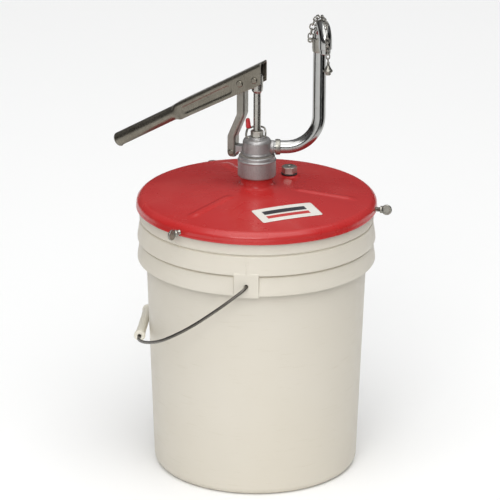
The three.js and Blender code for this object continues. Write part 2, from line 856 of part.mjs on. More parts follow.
function buildPiston() {
  const outer = cylinder.bore - gap;
  const chamber = piston.ballRadius + 1;
  return turned([
    [piston.seat, piston.bottom],
    [9.6, piston.bottom],
    [9.6, piston.grooveTop],
    [outer, piston.grooveTop],
    [outer, piston.top],
    [chamber, piston.top],
    [chamber, piston.bottom + 6],
    [piston.seat, piston.bottom + 4],
    [piston.seat, piston.bottom],
  ], 24);
}

// The yoke that ties the piston to the rod and stops the ball.
function buildPistonYoke() {
  const legs = [-1, 1].map((side) => box(
    side > 0 ? 7.6 : -11, side > 0 ? 11 : -7.6, -3, 3, piston.top + 0.4, 94,
  ));
  const bridge = join(disc(8.4, 86, 96, 16), box(-11, 11, -3, 3, 87, 94));
  return cut(join(bridge, ...legs), disc(rod.radius + 0.05, 87, 100, 16), disc(2.4, 80, 90, 8));
}

const footBall = { radius: 7, seat: 5, height: 22.4 };

function buildFootValve() {
  const socket = cylinder.radius + gap;
  return turned([
    [footBall.seat, 10],
    [13, 10],
    [17, 14],
    [17, 40],
    [socket, 40],
    [socket, cylinder.bottom - gap],
    [9.6, cylinder.bottom - gap],
    [9.6, 19.2],
    [footBall.seat, 17.2],
    [footBall.seat, 10],
  ], 24);
}

function buildBall(radius, height) {
  return clean(new THREE.SphereGeometry(radius, 12, 8).rotateX(PI / 2).translate(0, 0, height));
}

function buildPumpCylinder() {
  const pinHoles = alongX(disc(1.5 + 0.05, -16, 16, 8)).translate(0, 0, 36.6);
  return cut(ring(cylinder.bore, cylinder.radius, cylinder.bottom, cylinder.top, 28), pinHoles);
}

piece('pump_rod', buildRod(), materials.steel, leverGroup);
piece('pump_cylinder', buildPumpCylinder(), materials.steel);
piece('foot_valve', buildFootValve(), materials.casting);
piece('foot_ball', buildBall(footBall.radius, footBall.height), materials.steel);
piece('ball_stop_pin', alongX(disc(1.5, -14, 14, 8)).translate(0, 0, 36.6), materials.steel);
piece('piston', buildPiston(), materials.brass, leverGroup);
piece(
  'piston_cup',
  ring(9.9, cylinder.bore - gap, piston.bottom + gap, piston.grooveTop - gap, 24),
  materials.rubber,
  leverGroup,
);
piece('piston_yoke', buildPistonYoke(), materials.brass, leverGroup);
piece('piston_ball', buildBall(piston.ballRadius, piston.bottom + 8), materials.steel, leverGroup);

export default root;
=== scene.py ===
"""Looks of a hand lever gear oil pump on its plastic pail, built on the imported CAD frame.

Shapes are drawn in millimetres in the frame's own axes (+Z up, origin at the centre of the
pail's bottom) and scaled to metres when they become Blender objects."""

from math import cos, hypot, pi, radians, sin, sqrt, tan

import bmesh
import bpy
from mathutils import Matrix, Vector


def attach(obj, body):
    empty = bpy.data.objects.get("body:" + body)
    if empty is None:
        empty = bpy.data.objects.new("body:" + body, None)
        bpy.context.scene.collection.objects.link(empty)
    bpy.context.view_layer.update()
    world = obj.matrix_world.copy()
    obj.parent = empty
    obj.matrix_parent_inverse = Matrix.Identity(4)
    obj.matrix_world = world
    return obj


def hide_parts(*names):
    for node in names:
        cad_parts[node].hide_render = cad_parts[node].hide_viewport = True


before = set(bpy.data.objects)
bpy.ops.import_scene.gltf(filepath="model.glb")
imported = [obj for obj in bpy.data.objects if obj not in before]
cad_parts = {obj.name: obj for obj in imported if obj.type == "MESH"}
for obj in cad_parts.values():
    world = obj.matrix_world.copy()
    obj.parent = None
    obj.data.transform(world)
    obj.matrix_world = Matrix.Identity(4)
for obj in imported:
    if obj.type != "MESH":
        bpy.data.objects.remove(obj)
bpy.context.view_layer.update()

MM = 0.001
UP = Vector((0, 0, 1))
SHARP_ANGLE = radians(34)

# ---------------------------------------------------------------- dimensions shared with the CAD

LEVER_TURN = Matrix.Rotation(radians(-17.3), 4, "Z")
SPOUT_TURN = Matrix.Rotation(radians(4.7), 4, "Z")
ROD_PIN = (0.0, 518.0)
FULCRUM = (-19.7, 511.4)
LINK_FOOT = (-32.3, 418.0)
LEVER_SLOPE = radians(29.4)
LINK_SIDE = 8.8
LEVER_SIDE = 11.8
OUTLET_HEIGHT = 427.0
PLUG_PLACE = (37.8, 52.3)
SCREW_HEIGHT = 353.5
SCREW_ANGLES = [radians(-5.8), radians(115), radians(236)]
SPADE_ROLLS = [0.0, pi / 2, 0.0]
RISER_X = 78.5
HOOK_ANGLE = radians(-80)
HOOK_RADIUS = 18.0
HOOK_HEIGHT = 574.0
COVER_SHOULDER = (148.0, 363.4)
COVER_PAD = (38.0, 374.8)


# ---------------------------------------------------------------- camera, floor and light

CAMERA_TARGET = Vector((0, 0, 0.27))


def add_camera():
    """The viewing angle of a long lens, a little above and to the right of the front."""
    azimuth = radians(4.7)
    elevation = radians(20.0)
    distance = 4.28
    roll = radians(0.33)
    back = Vector((
        sin(azimuth) * cos(elevation),
        -cos(azimuth) * cos(elevation),
        sin(elevation),
    ))
    data = bpy.data.cameras.new("camera")
    data.lens = 238.8
    data.sensor_width = 36.0
    data.shift_x = -0.0126
    data.shift_y = 0.0250
    data.clip_end = 60
    camera = bpy.data.objects.new("camera", data)
    camera.location = CAMERA_TARGET + back * distance
    turn = (-back).to_track_quat("-Z", "Y").to_matrix() @ Matrix.Rotation(roll, 3, "Z")
    camera.rotation_euler = turn.to_euler()
    bpy.context.scene.collection.objects.link(camera)
    bpy.context.scene.camera = camera


def add_area_light(name, place, target, size, power):
    data = bpy.data.lights.new(name, "AREA")
    data.shape = "RECTANGLE"
    data.size, data.size_y = size
    data.energy = power
    light = bpy.data.objects.new(name, data)
    light.location = place
    aim = Vector(target) - Vector(place)
    light.rotation_euler = aim.to_track_quat("-Z", "Y").to_euler()
    bpy.context.scene.collection.objects.link(light)


def add_lights():
    middle = (0, 0, 0.3)
    add_area_light("key_softbox", (-0.3, -3.3, 2.1), middle, (1.8, 1.4), 34)
    add_area_light("top_softbox", (0.2, 0.6, 3.0), middle, (2.4, 2.0), 15)
    sun = bpy.data.lights.new("overhead_fill", "SUN")
    sun.energy = 2.1
    sun.angle = radians(70)
    fill = bpy.data.objects.new("overhead_fill", sun)
    fill.rotation_euler = (radians(26), radians(3), 0)
    bpy.context.scene.collection.objects.link(fill)


def set_world():
    """A studio room: a bright ceiling and a dim band near the horizon for metals to reflect."""
    world = bpy.data.worlds.new("studio")
    world.use_nodes = True
    bpy.context.scene.world = world
    nodes = world.node_tree.nodes
    links = world.node_tree.links
    place = nodes.new("ShaderNodeTexCoord")
    split = nodes.new("ShaderNodeSeparateXYZ")
    ramp = nodes.new("ShaderNodeValToRGB")
    stops = ramp.color_ramp.elements
    stops[0].position = 0.0
    stops[0].color = (0.55, 0.55, 0.55, 1)
    stops[1].position = 1.0
    stops[1].color = (0.95, 0.97, 1.0, 1)
    for position, level in ((0.44, 0.40), (0.51, 0.10), (0.62, 0.22), (0.74, 0.60)):
        stop = stops.new(position)
        stop.color = (level, level, level * 1.02, 1)
    half = nodes.new("ShaderNodeMath")
    half.operation = "MULTIPLY_ADD"
    half.inputs[1].default_value = 0.5
    half.inputs[2].default_value = 0.5
    links.new(place.outputs["Generated"], split.inputs[0])
    links.new(split.outputs["Z"], half.inputs[0])
    links.new(half.outputs[0], ramp.inputs["Fac"])
    links.new(ramp.outputs["Color"], nodes["Background"].inputs["Color"])
    nodes["Background"].inputs["Strength"].default_value = 0.36


def add_card(name, bearing, width, material):
    """A dark or grey flag beside the set, seen only in reflections."""
    distance = 0.75
    height = 1.1
    bpy.ops.mesh.primitive_plane_add(size=1)
    card = bpy.context.object
    card.name = name
    card.scale = (width, height, 1)
    card.location = (distance * sin(bearing), -distance * cos(bearing), height / 2)
    card.rotation_euler = (pi / 2, 0, bearing)
    card.visible_camera = False
    card.visible_diffuse = False
    card.visible_shadow = False
    card.data.materials.append(material)


def add_floor(material):
    bpy.ops.mesh.primitive_plane_add(size=24, location=(0, 4, 0))
    floor = bpy.context.object
    floor.name = "floor"
    floor.data.materials.append(material)


# ---------------------------------------------------------------- outlines and paths

def rounded(corners, closed=False, steps=4, fillet=0.35):
    """An outline of (x, y) or (x, y, fillet) corners, with every corner drawn as a short curve."""
    count = len(corners)
    result = []
    for i, corner in enumerate(corners):
        here = Vector(corner[:2])
        if not closed and i in (0, count - 1):
            result.append(tuple(here))
            continue
        before = Vector(corners[i - 1][:2])
        after = Vector(corners[(i + 1) % count][:2])
        wanted = corner[2] if len(corner) > 2 else fillet
        reach = min(wanted, 0.45 * (before - here).length, 0.45 * (after - here).length)
        start = here + (before - here).normalized() * reach
        end = here + (after - here).normalized() * reach
        for k in range(steps + 1):
            t = k / steps
            bent = start * (1 - t) ** 2 + here * 2 * t * (1 - t) + end * t ** 2
            result.append(tuple(bent))
    return result


def subdivided(outline, longest):
    """The same outline with extra points, so that no step is longer than the given length."""
    result = [outline[0]]
    for a, b in zip(outline, outline[1:]):
        parts = max(1, int(hypot(b[0] - a[0], b[1] - a[1]) / longest + 0.999))
        for k in range(1, parts + 1):
            t = k / parts
            result.append((a[0] + (b[0] - a[0]) * t, a[1] + (b[1] - a[1]) * t))
    return result


def smooth_step(low, high, value):
    t = min(1.0, max(0.0, (value - low) / (high - low)))
    return t * t * (3 - 2 * t)


def between(value, table):
    """Straight-line interpolation in a list of (place, value) pairs."""
    if value <= table[0][0]:
        return table[0][1]
    for (x0, y0), (x1, y1) in zip(table, table[1:]):
        if value <= x1:
            return y0 + (y1 - y0) * (value - x0) / (x1 - x0)
    return table[-1][1]


def through(points, per_span=12):
    """A centripetal Catmull-Rom curve through the points."""
    knots = [Vector(p) for p in points]
    knots = [2 * knots[0] - knots[1], *knots, 2 * knots[-1] - knots[-2]]
    result = []
    for p0, p1, p2, p3 in zip(knots, knots[1:], knots[2:], knots[3:]):
        d0, d1, d2 = (sqrt((b - a).length) for a, b in ((p0, p1), (p1, p2), (p2, p3)))
        m1 = ((p1 - p0) / d0 - (p2 - p0) / (d0 + d1) + (p2 - p1) / d1) * d1
        m2 = ((p2 - p1) / d1 - (p3 - p1) / (d1 + d2) + (p3 - p2) / d2) * d1
        for k in range(per_span):
            t = k / per_span
            result.append(
                p1 + m1 * t + (3 * (p2 - p1) - 2 * m1 - m2) * t ** 2
                + (2 * (p1 - p2) + m1 + m2) * t ** 3
            )
    return [*result, knots[-2]]


def full_turn(count):
    """Evenly spaced angles round a full turn."""
    return [2 * pi * k / count for k in range(count)]


def arc(centre, radius, start, side, sweep, steps):
    return [
        centre + start * radius * cos(sweep * k / steps) + side * radius * sin(sweep * k / steps)
        for k in range(steps + 1)
    ]


def path_frames(points, closed=False):
    """A direction and two square normals at each point, turned as little as possible."""
    count = len(points)
    directions = []
    for i in range(count):
        ahead = points[(i + 1) % count] if closed or i + 1 < count else points[i]
        behind = points[i - 1] if closed or i > 0 else points[i]
        directions.append((ahead - behind).normalized())
    normal = directions[0].orthogonal().normalized()
    frames = []
    for direction in directions:
        normal = (normal - direction * normal.dot(direction)).normalized()
        frames.append((direction, normal, direction.cross(normal)))
    return frames


# ---------------------------------------------------------------- surfaces in millimetres

def sheet(rows, wrap_rows=False, wrap_columns=False):
    """Points and quads of rows that all hold the same number of points."""
    wide = len(rows[0])
    tall = len(rows)
    faces = []
    for i in range(tall if wrap_rows else tall - 1):
        for j in range(wide if wrap_columns else wide - 1):
            across = (j + 1) % wide
            below = (i + 1) % tall * wide
            faces.append((i * wide + j, i * wide + across, below + across, below + j))
    return [Vector(p) for row in rows for p in row], faces


def revolved(outline_at, angles, ring=False):
    """An outline of (radius, height) turned about Z. It may change with the angle."""
    rows = []
    for angle in angles:
        rows.append([(r * cos(angle), r * sin(angle), z) for r, z in outline_at(angle)])
    return sheet(rows, wrap_rows=True, wrap_columns=ring)


def turned(outline, segments=96, ring=False):
    return revolved(lambda angle: outline, full_turn(segments), ring)


def lathe(corners, segments, closed=False):
    """Corners drawn as short curves and turned about Z. A closed outline makes a ring."""
    return turned(rounded(corners, closed), segments, ring=closed)


def circle_row(centre, normal, across, radius, sides):
    return [
        centre + (normal * cos(2 * pi * k / sides) + across * sin(2 * pi * k / sides)) * radius
        for k in range(sides)
    ]


def wire(points, radius, sides=16, closed=False):
    """A solid round wire along a path, with domed ends when it is open."""
    frames = path_frames(points, closed)
    rows = [circle_row(p, n, b, radius, sides) for p, (_, n, b) in zip(points, frames)]
    if not closed:
        caps = []
        for place, (d, n, b), way in ((points[0], frames[0], -1), (points[-1], frames[-1], 1)):
            cap = []
            for k in range(1, 5):
                lift = radians(90 * k / 4)
                centre = place + d * way * radius * 0.8 * sin(lift)
                cap.append(circle_row(centre, n, b, radius * max(cos(lift), 1e-4), sides))
            caps.append(cap)
        rows = caps[0][::-1] + rows + caps[1]
    return sheet(rows, wrap_rows=closed, wrap_columns=True)


def pipe(points, outer, bore, sides=40):
    """An open tube along a path, with rounded lips at both ends."""
    frames = path_frames(points)
    lip = 0.35
    last = len(points) - 1
    stations = [(i, outer, 0.0) for i in range(last + 1)]
    stations += [(last, outer - lip, lip), (last, bore + lip, lip)]
    stations += [(i, bore, 0.0) for i in range(last, -1, -1)]
    stations += [(0, bore + lip, -lip), (0, outer - lip, -lip)]
    rows = []
    for i, radius, beyond in stations:
        d, n, b = frames[i]
        rows.append(circle_row(points[i] + d * beyond, n, b, radius, sides))
    return sheet(rows, wrap_rows=True, wrap_columns=True)


def moved(part, matrix):
    points, faces = part
    return [matrix @ p for p in points], faces


def lying(direction, place=(0, 0, 0)):
    """Turns a shape that was built along Z to lie along a direction at a place."""
    turn = Vector(direction).to_track_quat("Z", "Y").to_matrix().to_4x4()
    return Matrix.Translation(place) @ turn


def block(low, high):
    (x0, y0, z0), (x1, y1, z1) = low, high
    rows = [
        [(x0, y0, z), (x1, y0, z), (x1, y1, z), (x0, y1, z)]
        for z in (z0, z1)
    ]
    points, faces = sheet(rows, wrap_columns=True)
    return points, [*faces, (3, 2, 1, 0), (4, 5, 6, 7)]


def hex_reach(angle, flats):
    """Distance from the axis to the side of a hexagon, with its corners slightly broken."""
    corner = flats / 2 / cos(pi / 6)
    side = (angle + pi / 6) % (pi / 3) - pi / 6
    facing = flats / 2 / cos(side - pi / 6 if side > 0 else side + pi / 6)
    return min(facing, corner * 0.985)


def hex_nut(flats, bore, bottom, top, low_chamfer=True):
    """A hexagon nut with the usual conical chamfers."""
    slope = tan(radians(30))
    shoulder = flats / 2 * 0.97

    def outline_at(angle):
        reach = hex_reach(angle, flats)
        drop = (reach - shoulder) * slope
        low = bottom + (drop if low_chamfer else 0.0)
        return [
            (bore, bottom + 0.5), (bore + 0.5, bottom), (shoulder, bottom), (reach, low + 0.05),
            (reach, top - drop - 0.05), (shoulder, top), (bore + 0.5, top), (bore, top - 0.5),
        ]

    return revolved(outline_at, full_turn(144), ring=True)


def threaded(radius, bottom, top, pitch=1.25, depth=0.55):
    """A threaded shank from one height to another, closed at both ends."""
    count = int((top - bottom) / (pitch / 6))

    def outline_at(angle):
        outline = [(0, bottom), (radius - depth, bottom)]
        for k in range(count + 1):
            height = bottom + 0.3 + (top - bottom - 0.6) * k / count
            wave = abs(((height / pitch - angle / (2 * pi)) % 1) * 2 - 1)
            outline.append((radius - depth * wave, height))
        return [*outline, (radius - depth, top), (0, top)]

    return revolved(outline_at, full_turn(48))


# ---------------------------------------------------------------- pieces

def build_mesh(name, parts):
    """One mesh in metres from parts in millimetres."""
    points = []
    faces = []
    for part_points, part_faces in parts:
        offset = len(points)
        points.extend(p * MM for p in part_points)
        faces.extend(tuple(i + offset for i in face) for face in part_faces)
    mesh = bpy.data.meshes.new(name)
    mesh.from_pydata(points, [], faces)
    work = bmesh.new()
    work.from_mesh(mesh)
    bmesh.ops.remove_doubles(work, verts=work.verts, dist=2e-6)
    bmesh.ops.dissolve_degenerate(work, edges=work.edges, dist=1e-7)
    bmesh.ops.recalc_face_normals(work, faces=work.faces)
    work.to_mesh(mesh)
    work.free()
    return mesh


def shade(mesh):
    mesh.shade_smooth()
    mesh.set_sharp_from_angle(angle=SHARP_ANGLE)


def piece(name, parts, material, body, nodes, bevel=0.0, thickness=0.0):
    """A finished object that rides on a body and stands for the given CAD nodes."""
    mesh = build_mesh(name, parts)
    place_piece(name, mesh, material, body, nodes, bevel, thickness)


def place_piece(name, mesh, material, body, nodes, bevel=0.0, thickness=0.0):
    shade(mesh)
    mesh.materials.append(material)
    made = bpy.data.objects.new(name, mesh)
    bpy.context.scene.collection.objects.link(made)
    if thickness:
        wall = made.modifiers.new("wall", "SOLIDIFY")
        wall.thickness = thickness * MM
        wall.offset = 0.0
        wall.use_even_offset = True
    if bevel:
        edge = made.modifiers.new("edges", "BEVEL")
        edge.width = bevel * MM
        edge.segments = 2
        edge.limit_method = "ANGLE"
        edge.angle_limit = SHARP_ANGLE
        edge.harden_normals = False
    weigh = made.modifiers.new("weighted", "WEIGHTED_NORMAL")
    weigh.keep_sharp = True
    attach(made, body)
    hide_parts(*nodes)


def applied(mesh, name, add_modifiers):
    """The mesh that modifiers make of a mesh."""
    holder = bpy.data.objects.new(name, mesh)
    bpy.context.scene.collection.objects.link(holder)
    helpers = add_modifiers(holder)
    bpy.context.view_layer.update()
    graph = bpy.context.evaluated_depsgraph_get()
    result = bpy.data.meshes.new_from_object(holder.evaluated_get(graph))
    for done in [holder, *helpers]:
        bpy.data.objects.remove(done)
    result.name = name
    return result


def fused(name, parts, voxel, rounds):
    """Parts melted into one casting: their crossings become fillets."""

    def melt(holder):
        remesh = holder.modifiers.new("voxels", "REMESH")
        remesh.mode = "VOXEL"
        remesh.voxel_size = voxel * MM
        relax = holder.modifiers.new("relax", "SMOOTH")
        relax.factor = 0.5
        relax.iterations = rounds
        return []

    return applied(build_mesh(name, parts), name, melt)


def drilled(name, mesh, tools):
    """The mesh with round holes cut through it."""

    def drill(holder):
        made = []
        for tool in tools:
            cutter = bpy.data.objects.new("cutter", build_mesh("cutter", [tool]))
            bpy.context.scene.collection.objects.link(cutter)
            cut = holder.modifiers.new("hole", "BOOLEAN")
            cut.operation = "DIFFERENCE"
            cut.solver = "EXACT"
            cut.object = cutter
            made.append(cutter)
        return made

    return applied(mesh, name, drill)


# ---------------------------------------------------------------- materials

def srgb(code):
    """A hexadecimal colour as linear RGBA."""
    levels = [int(code[i:i + 2], 16) / 255 for i in (0, 2, 4)]
    linear = [c / 12.92 if c <= 0.04045 else ((c + 0.055) / 1.055) ** 2.4 for c in levels]
    return (*linear, 1.0)


class Look:
    """A Principled material with helpers for its procedural detail."""

    def __init__(self, name, colour, roughness, metallic=0.0):
        self.material = bpy.data.materials.new(name)
        self.material.use_nodes = True
        self.nodes = self.material.node_tree.nodes
        self.links = self.material.node_tree.links
        self.shader = self.nodes["Principled BSDF"]
        self.colour = None
        self.bumps = None
        self.shader.inputs["Base Color"].default_value = srgb(colour)
        self.shader.inputs["Roughness"].default_value = roughness
        self.shader.inputs["Metallic"].default_value = metallic
        self.place = self.nodes.new("ShaderNodeTexCoord")

    def noise(self, scale, detail=4.0, stretch=(1, 1, 1), turn=0.0):
        """Noise in object space; the scale is in features per metre."""
        aim = self.nodes.new("ShaderNodeMapping")
        aim.inputs["Scale"].default_value = stretch
        aim.inputs["Rotation"].default_value = (0, turn, 0)
        texture = self.nodes.new("ShaderNodeTexNoise")
        texture.inputs["Scale"].default_value = scale
        texture.inputs["Detail"].default_value = detail
        self.links.new(self.place.outputs["Object"], aim.inputs["Vector"])
        self.links.new(aim.outputs["Vector"], texture.inputs["Vector"])
        return texture.outputs["Fac"]

    def scaled(self, source, low, high, start=0.3, end=0.7):
        """A source between start and end mapped to low and high."""
        node = self.nodes.new("ShaderNodeMapRange")
        for name, value in (("From Min", start), ("From Max", end), ("To Min", low), ("To Max", high)):
            node.inputs[name].default_value = value
        self.links.new(source, node.inputs["Value"])
        return node.outputs["Result"]

    def tint(self, mask, code):
        """Lays a colour over the base colour where the mask is 1."""
        mix = self.nodes.new("ShaderNodeMix")
        mix.data_type = "RGBA"
        base = self.shader.inputs["Base Color"]
        if self.colour is None:
            mix.inputs["A"].default_value = base.default_value
        else:
            self.links.new(self.colour, mix.inputs["A"])
        mix.inputs["B"].default_value = srgb(code)
        self.links.new(mask, mix.inputs["Factor"])
        self.colour = mix.outputs["Result"]
        self.links.new(self.colour, base)

    def mottle(self, scale, detail, strength, code, start=0.3, end=0.7):
        """Noise patches of a second colour."""
        self.tint(self.scaled(self.noise(scale, detail), 0.0, strength, start, end), code)

    def rough(self, source, low, high):
        """Roughness that follows a source from low to high."""
        self.links.new(self.scaled(source, low, high), self.shader.inputs["Roughness"])

    def bump(self, source, height):
        """Relief of the given height in millimetres."""
        node = self.nodes.new("ShaderNodeBump")
        node.inputs["Distance"].default_value = height * MM
        self.links.new(source, node.inputs["Height"])
        if self.bumps is not None:
            self.links.new(self.bumps, node.inputs["Normal"])
        self.bumps = node.outputs["Normal"]
        self.links.new(self.bumps, self.shader.inputs["Normal"])

    def edges(self, low=0.53, high=0.60):
        """1 along convex edges, for wear."""
        geometry = self.nodes.new("ShaderNodeNewGeometry")
        return self.scaled(geometry.outputs["Pointiness"], 0.0, 1.0, low, high)

    def painted_crease_shade(self, low=0.40, high=0.485):
        """1 along concave edges, where painted shade is laid."""
        geometry = self.nodes.new("ShaderNodeNewGeometry")
        return self.scaled(geometry.outputs["Pointiness"], 1.0, 0.0, low, high)

    def product(self, a, b):
        node = self.nodes.new("ShaderNodeMath")
        node.operation = "MULTIPLY"
        self.links.new(a, node.inputs[0])
        self.links.new(b, node.inputs[1])
        return node.outputs[0]

    def set(self, **values):
        for name, value in values.items():
            self.shader.inputs[name.replace("_", " ").title().replace("Ior", "IOR")].default_value = value


def pail_plastic():
    look = Look("pail_plastic", "dad4c7", 0.42)
    look.set(specular_ior_level=0.45)
    look.mottle(5, 3, 0.5, "d3cbba")
    scuffs = look.scaled(look.noise(30, 8, (1, 1, 9)), 0.0, 1.0, 0.60, 0.72)
    look.tint(look.scaled(scuffs, 0.0, 0.18, 0, 1), "c3baa4")
    # Painted shade: a warm brown darkening in the creases under the bands.
    look.tint(look.scaled(look.painted_crease_shade(), 0.0, 0.5, 0, 1), "a5977c")
    look.rough(look.noise(60, 6), 0.36, 0.52)
    look.bump(look.noise(9, 2, (1, 1, 0.5)), 0.9)
    look.bump(look.noise(1400, 2), 0.012)
    return look.material


def red_paint():
    look = Look("red_paint", "bd2b2a", 0.26)
    look.set(coat_weight=0.15, coat_roughness=0.10, specular_ior_level=0.4)
    look.mottle(7, 3, 0.45, "ad2728")
    dust = look.product(
        look.scaled(look.noise(12, 5), 0.0, 1.0, 0.45, 0.75),
        look.scaled(look.noise(900, 3), 0.0, 0.35),
    )
    look.tint(dust, "cf6a62")
    chips = look.product(look.edges(0.56, 0.62), look.scaled(look.noise(420, 5), 0.0, 0.9, 0.56, 0.64))
    look.tint(chips, "6d4a44")
    look.rough(look.noise(18, 6), 0.20, 0.34)
    look.bump(look.noise(330, 2), 0.02)
    look.bump(look.noise(14, 2), 0.35)
    return look.material


def cast_metal():
    look = Look("cast_metal", "b0afae", 0.5, 0.75)
    look.mottle(45, 6, 0.7, "9b9896")
    look.mottle(500, 6, 0.5, "807d7a", 0.55, 0.7)
    look.tint(look.scaled(look.edges(), 0.0, 0.6, 0, 1), "d6d0ca")
    look.rough(look.noise(220, 5), 0.36, 0.58)
    look.bump(look.noise(260, 4, (1, 1, 0.35)), 0.10)
    look.bump(look.noise(1300, 3), 0.04)
    return look.material


def plated_steel(name, colour, dull, roughness, grain=(1, 1, 1), turn=0.0):
    """Plated or bright steel: faint mottling, drawn grain and brighter edges."""
    look = Look(name, colour, roughness, 0.92)
    look.mottle(35, 5, 0.75, dull)
    look.mottle(260, 6, 0.45, "5f5b53", 0.55, 0.75)
    look.tint(look.scaled(look.edges(), 0.0, 0.7, 0, 1), "dedbd2")
    look.rough(look.noise(90, 6, grain, turn), roughness - 0.09, roughness + 0.12)
    look.bump(look.noise(600, 4, grain, turn), 0.02)
    look.bump(look.noise(40, 3), 0.12)
    return look.material


def plain_finish(name, colour, roughness, metallic, patches, gloss, grain):
    """A finish of noise patches, uneven gloss and fine grain."""
    look = Look(name, colour, roughness, metallic)
    for patch in patches:
        look.mottle(*patch)
    *cloud, low, high = gloss
    look.rough(look.noise(*cloud), low, high)
    *speckle, height = grain
    look.bump(look.noise(*speckle), height)
    return look.material


def red_vinyl():
    look = Look("red_vinyl", "c2262c", 0.36)
    look.set(coat_weight=0.25, coat_roughness=0.2)
    look.mottle(150, 4, 0.6, "a81f26")
    look.rough(look.noise(200, 4), 0.3, 0.46)
    look.bump(look.noise(350, 3), 0.05)
    return look.material


def printed_label():
    """A white sticker with a plain dark bar over a plain red bar."""
    look = Look("printed_label", "e9e6de", 0.38)
    look.set(coat_weight=0.3, coat_roughness=0.12)
    look.mottle(40, 4, 0.5, "dedad0")
    split = look.nodes.new("ShaderNodeSeparateXYZ")
    look.links.new(look.place.outputs["UV"], split.inputs[0])

    def band(axis, low, high, soft=0.006):
        rise = look.scaled(split.outputs[axis], 0.0, 1.0, low - soft, low + soft)
        fall = look.scaled(split.outputs[axis], 1.0, 0.0, high - soft, high + soft)
        return look.product(rise, fall)

    look.tint(look.product(band("X", 0.13, 0.84), band("Y", 0.52, 0.78)), "2e2f35")
    look.tint(look.product(band("X", 0.13, 0.84), band("Y", 0.22, 0.42)), "c23a38")
    look.rough(look.noise(90, 5), 0.3, 0.48)
    look.bump(look.noise(60, 3), 0.12)
    return look.material


def floor_paint():
    look = Look("floor_paint", "fafaf9", 0.8)
    look.mottle(0.8, 2, 0.4, "f8f8f7")
    return look.material


def card_paint(name, colour, patch):
    look = Look(name, colour, 0.95)
    look.mottle(3, 2, 0.4, patch)
    return look.material


pail_look = pail_plastic()
red_look = red_paint()
cast_look = cast_metal()
zinc_look = plated_steel("zinc_plate", "a5a39b", "88857c", 0.32)
lever_look = plated_steel("lever_plate", "878277", "6f6a5f", 0.30, (14, 14, 1), radians(60.6))
link_look = plated_steel("link_plate", "95928a", "78756e", 0.34, (9, 9, 1))
rod_look = plated_steel("bright_rod", "b0aea8", "9a978f", 0.22, (1, 1, 12))
chrome_look = plain_finish(
    "chrome_plate", "a9a9a7", 0.10, 1.0,
    [(25, 5, 0.5, "a2a29e"), (300, 6, 0.4, "8a8375", 0.62, 0.75)], (50, 7, 0.08, 0.24), (120, 3, 0.02),
)
steel_look = plain_finish(
    "dark_steel", "77736d", 0.34, 0.95,
    [(60, 5, 0.8, "57534e"), (700, 5, 0.4, "6e5a48", 0.6, 0.75)], (300, 5, 0.26, 0.46), (900, 3, 0.02),
)
brass_look = plain_finish(
    "brass_metal", "b8924c", 0.32, 0.95,
    [(80, 5, 0.7, "8f6f38")], (200, 5, 0.24, 0.44), (800, 3, (1, 1, 6), 0.02),
)
rubber_look = plain_finish(
    "black_rubber", "2b2a29", 0.72, 0.0,
    [(300, 5, 0.6, "3a3836")], (150, 4, 0.6, 0.85), (900, 4, 0.05),
)
gasket_look = plain_finish(
    "fibre_gasket", "8d877f", 0.7, 0.0,
    [(400, 5, 0.6, "77716a")], (200, 4, 0.6, 0.8), (900, 4, 0.05),
)
grip_look = plain_finish(
    "grip_plastic", "e9e5d8", 0.4, 0.0,
    [(60, 4, 0.5, "dcd6c4")], (120, 5, 0.34, 0.52), (500, 3, 0.03),
)
vinyl_look = red_vinyl()
label_look = printed_label()
card_black_look = card_paint("card_black", "0c0c0d", "151516")
card_grey_look = card_paint("card_grey", "5a5d61", "54575b")
chain_look = plated_steel("chain_plate", "7f7b74", "625f58", 0.32)

NODE_LOOKS = {
    "cover_gasket": rubber_look,
    "head_gasket": gasket_look,
    "gland_packing": rubber_look,
    "piston_cup": rubber_look,
    "mounting_washer": zinc_look,
    "ball_stop_pin": zinc_look,
    "piston_yoke": brass_look,
}


def dress_cad_nodes():
    """Pieces whose CAD shape is kept get their finish from the same materials."""
    for name, look in NODE_LOOKS.items():
        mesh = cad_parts[name].data
        mesh.materials.clear()
        mesh.materials.append(look)


# ---------------------------------------------------------------- pail

PAD_HALF = 15.6
PAD_FACE = 153.4
PAD_TOP = 309.6
EAR_RADIUS = 150
BAIL_PIVOT_HEIGHT = 293


def wall_radius(height):
    return 132.2 + (height - 8) * 0.035


def band_outline(bottom):
    """One moulded band: a lip at its lower edge, and a groove above it."""
    return [
        (152.9, bottom, 0.9), (152.9, bottom + 4, 2.0),
        (149.8, bottom + 23.5, 1.2), (147.0, bottom + 25.2, 0.8),
    ]


def pail_outline():
    corners = [
        (0, 0), (118, 0, 1), (120, 0.9, 1), (127, 0.4, 2), (132.2, 6.5, 3.5),
        (wall_radius(296), 296, 1.5), (148.6, 296, 1.2), (150.4, 280, 0.6),
        *band_outline(280), *band_outline(307),
        (150.6, 334.4, 1.2), (149, 343, 4), (149, 357.6, 1.4), (147, 359.5, 1.0),
        (145.4, 359.5, 0.8), (144.9, 357, 1.0), (144.9, 308, 3), (wall_radius(296) - 2.4, 299, 3),
        (wall_radius(8) - 2.4, 8, 4), (125, 3, 3), (0, 3),
    ]
    outline = subdivided(rounded(corners, steps=5), 3.2)
    lip = next(i for i, (radius, height) in enumerate(outline) if radius > 150.7)
    rim = next(i for i, (radius, height) in enumerate(outline) if height > 350)
    return [(radius, height, lip <= i < rim) for i, (radius, height) in enumerate(outline)]


def pail_angles():
    """Even steps round the pail, with finer ones across the two ears."""
    offsets = {radians(1.5 * k) for k in range(-60, 60) if abs(1.5 * k) > 8}
    for k in range(-20, 21):
        offsets.add(k * 1.1 / EAR_RADIUS)
    for k in range(-6, 7):
        for edge in (-PAD_HALF, 0.0, PAD_HALF):
            offsets.add((edge + k * 0.25) / EAR_RADIUS)
    ordered = sorted(offsets)
    return [pi / 2 + a for a in ordered] + [3 * pi / 2 + a for a in ordered]


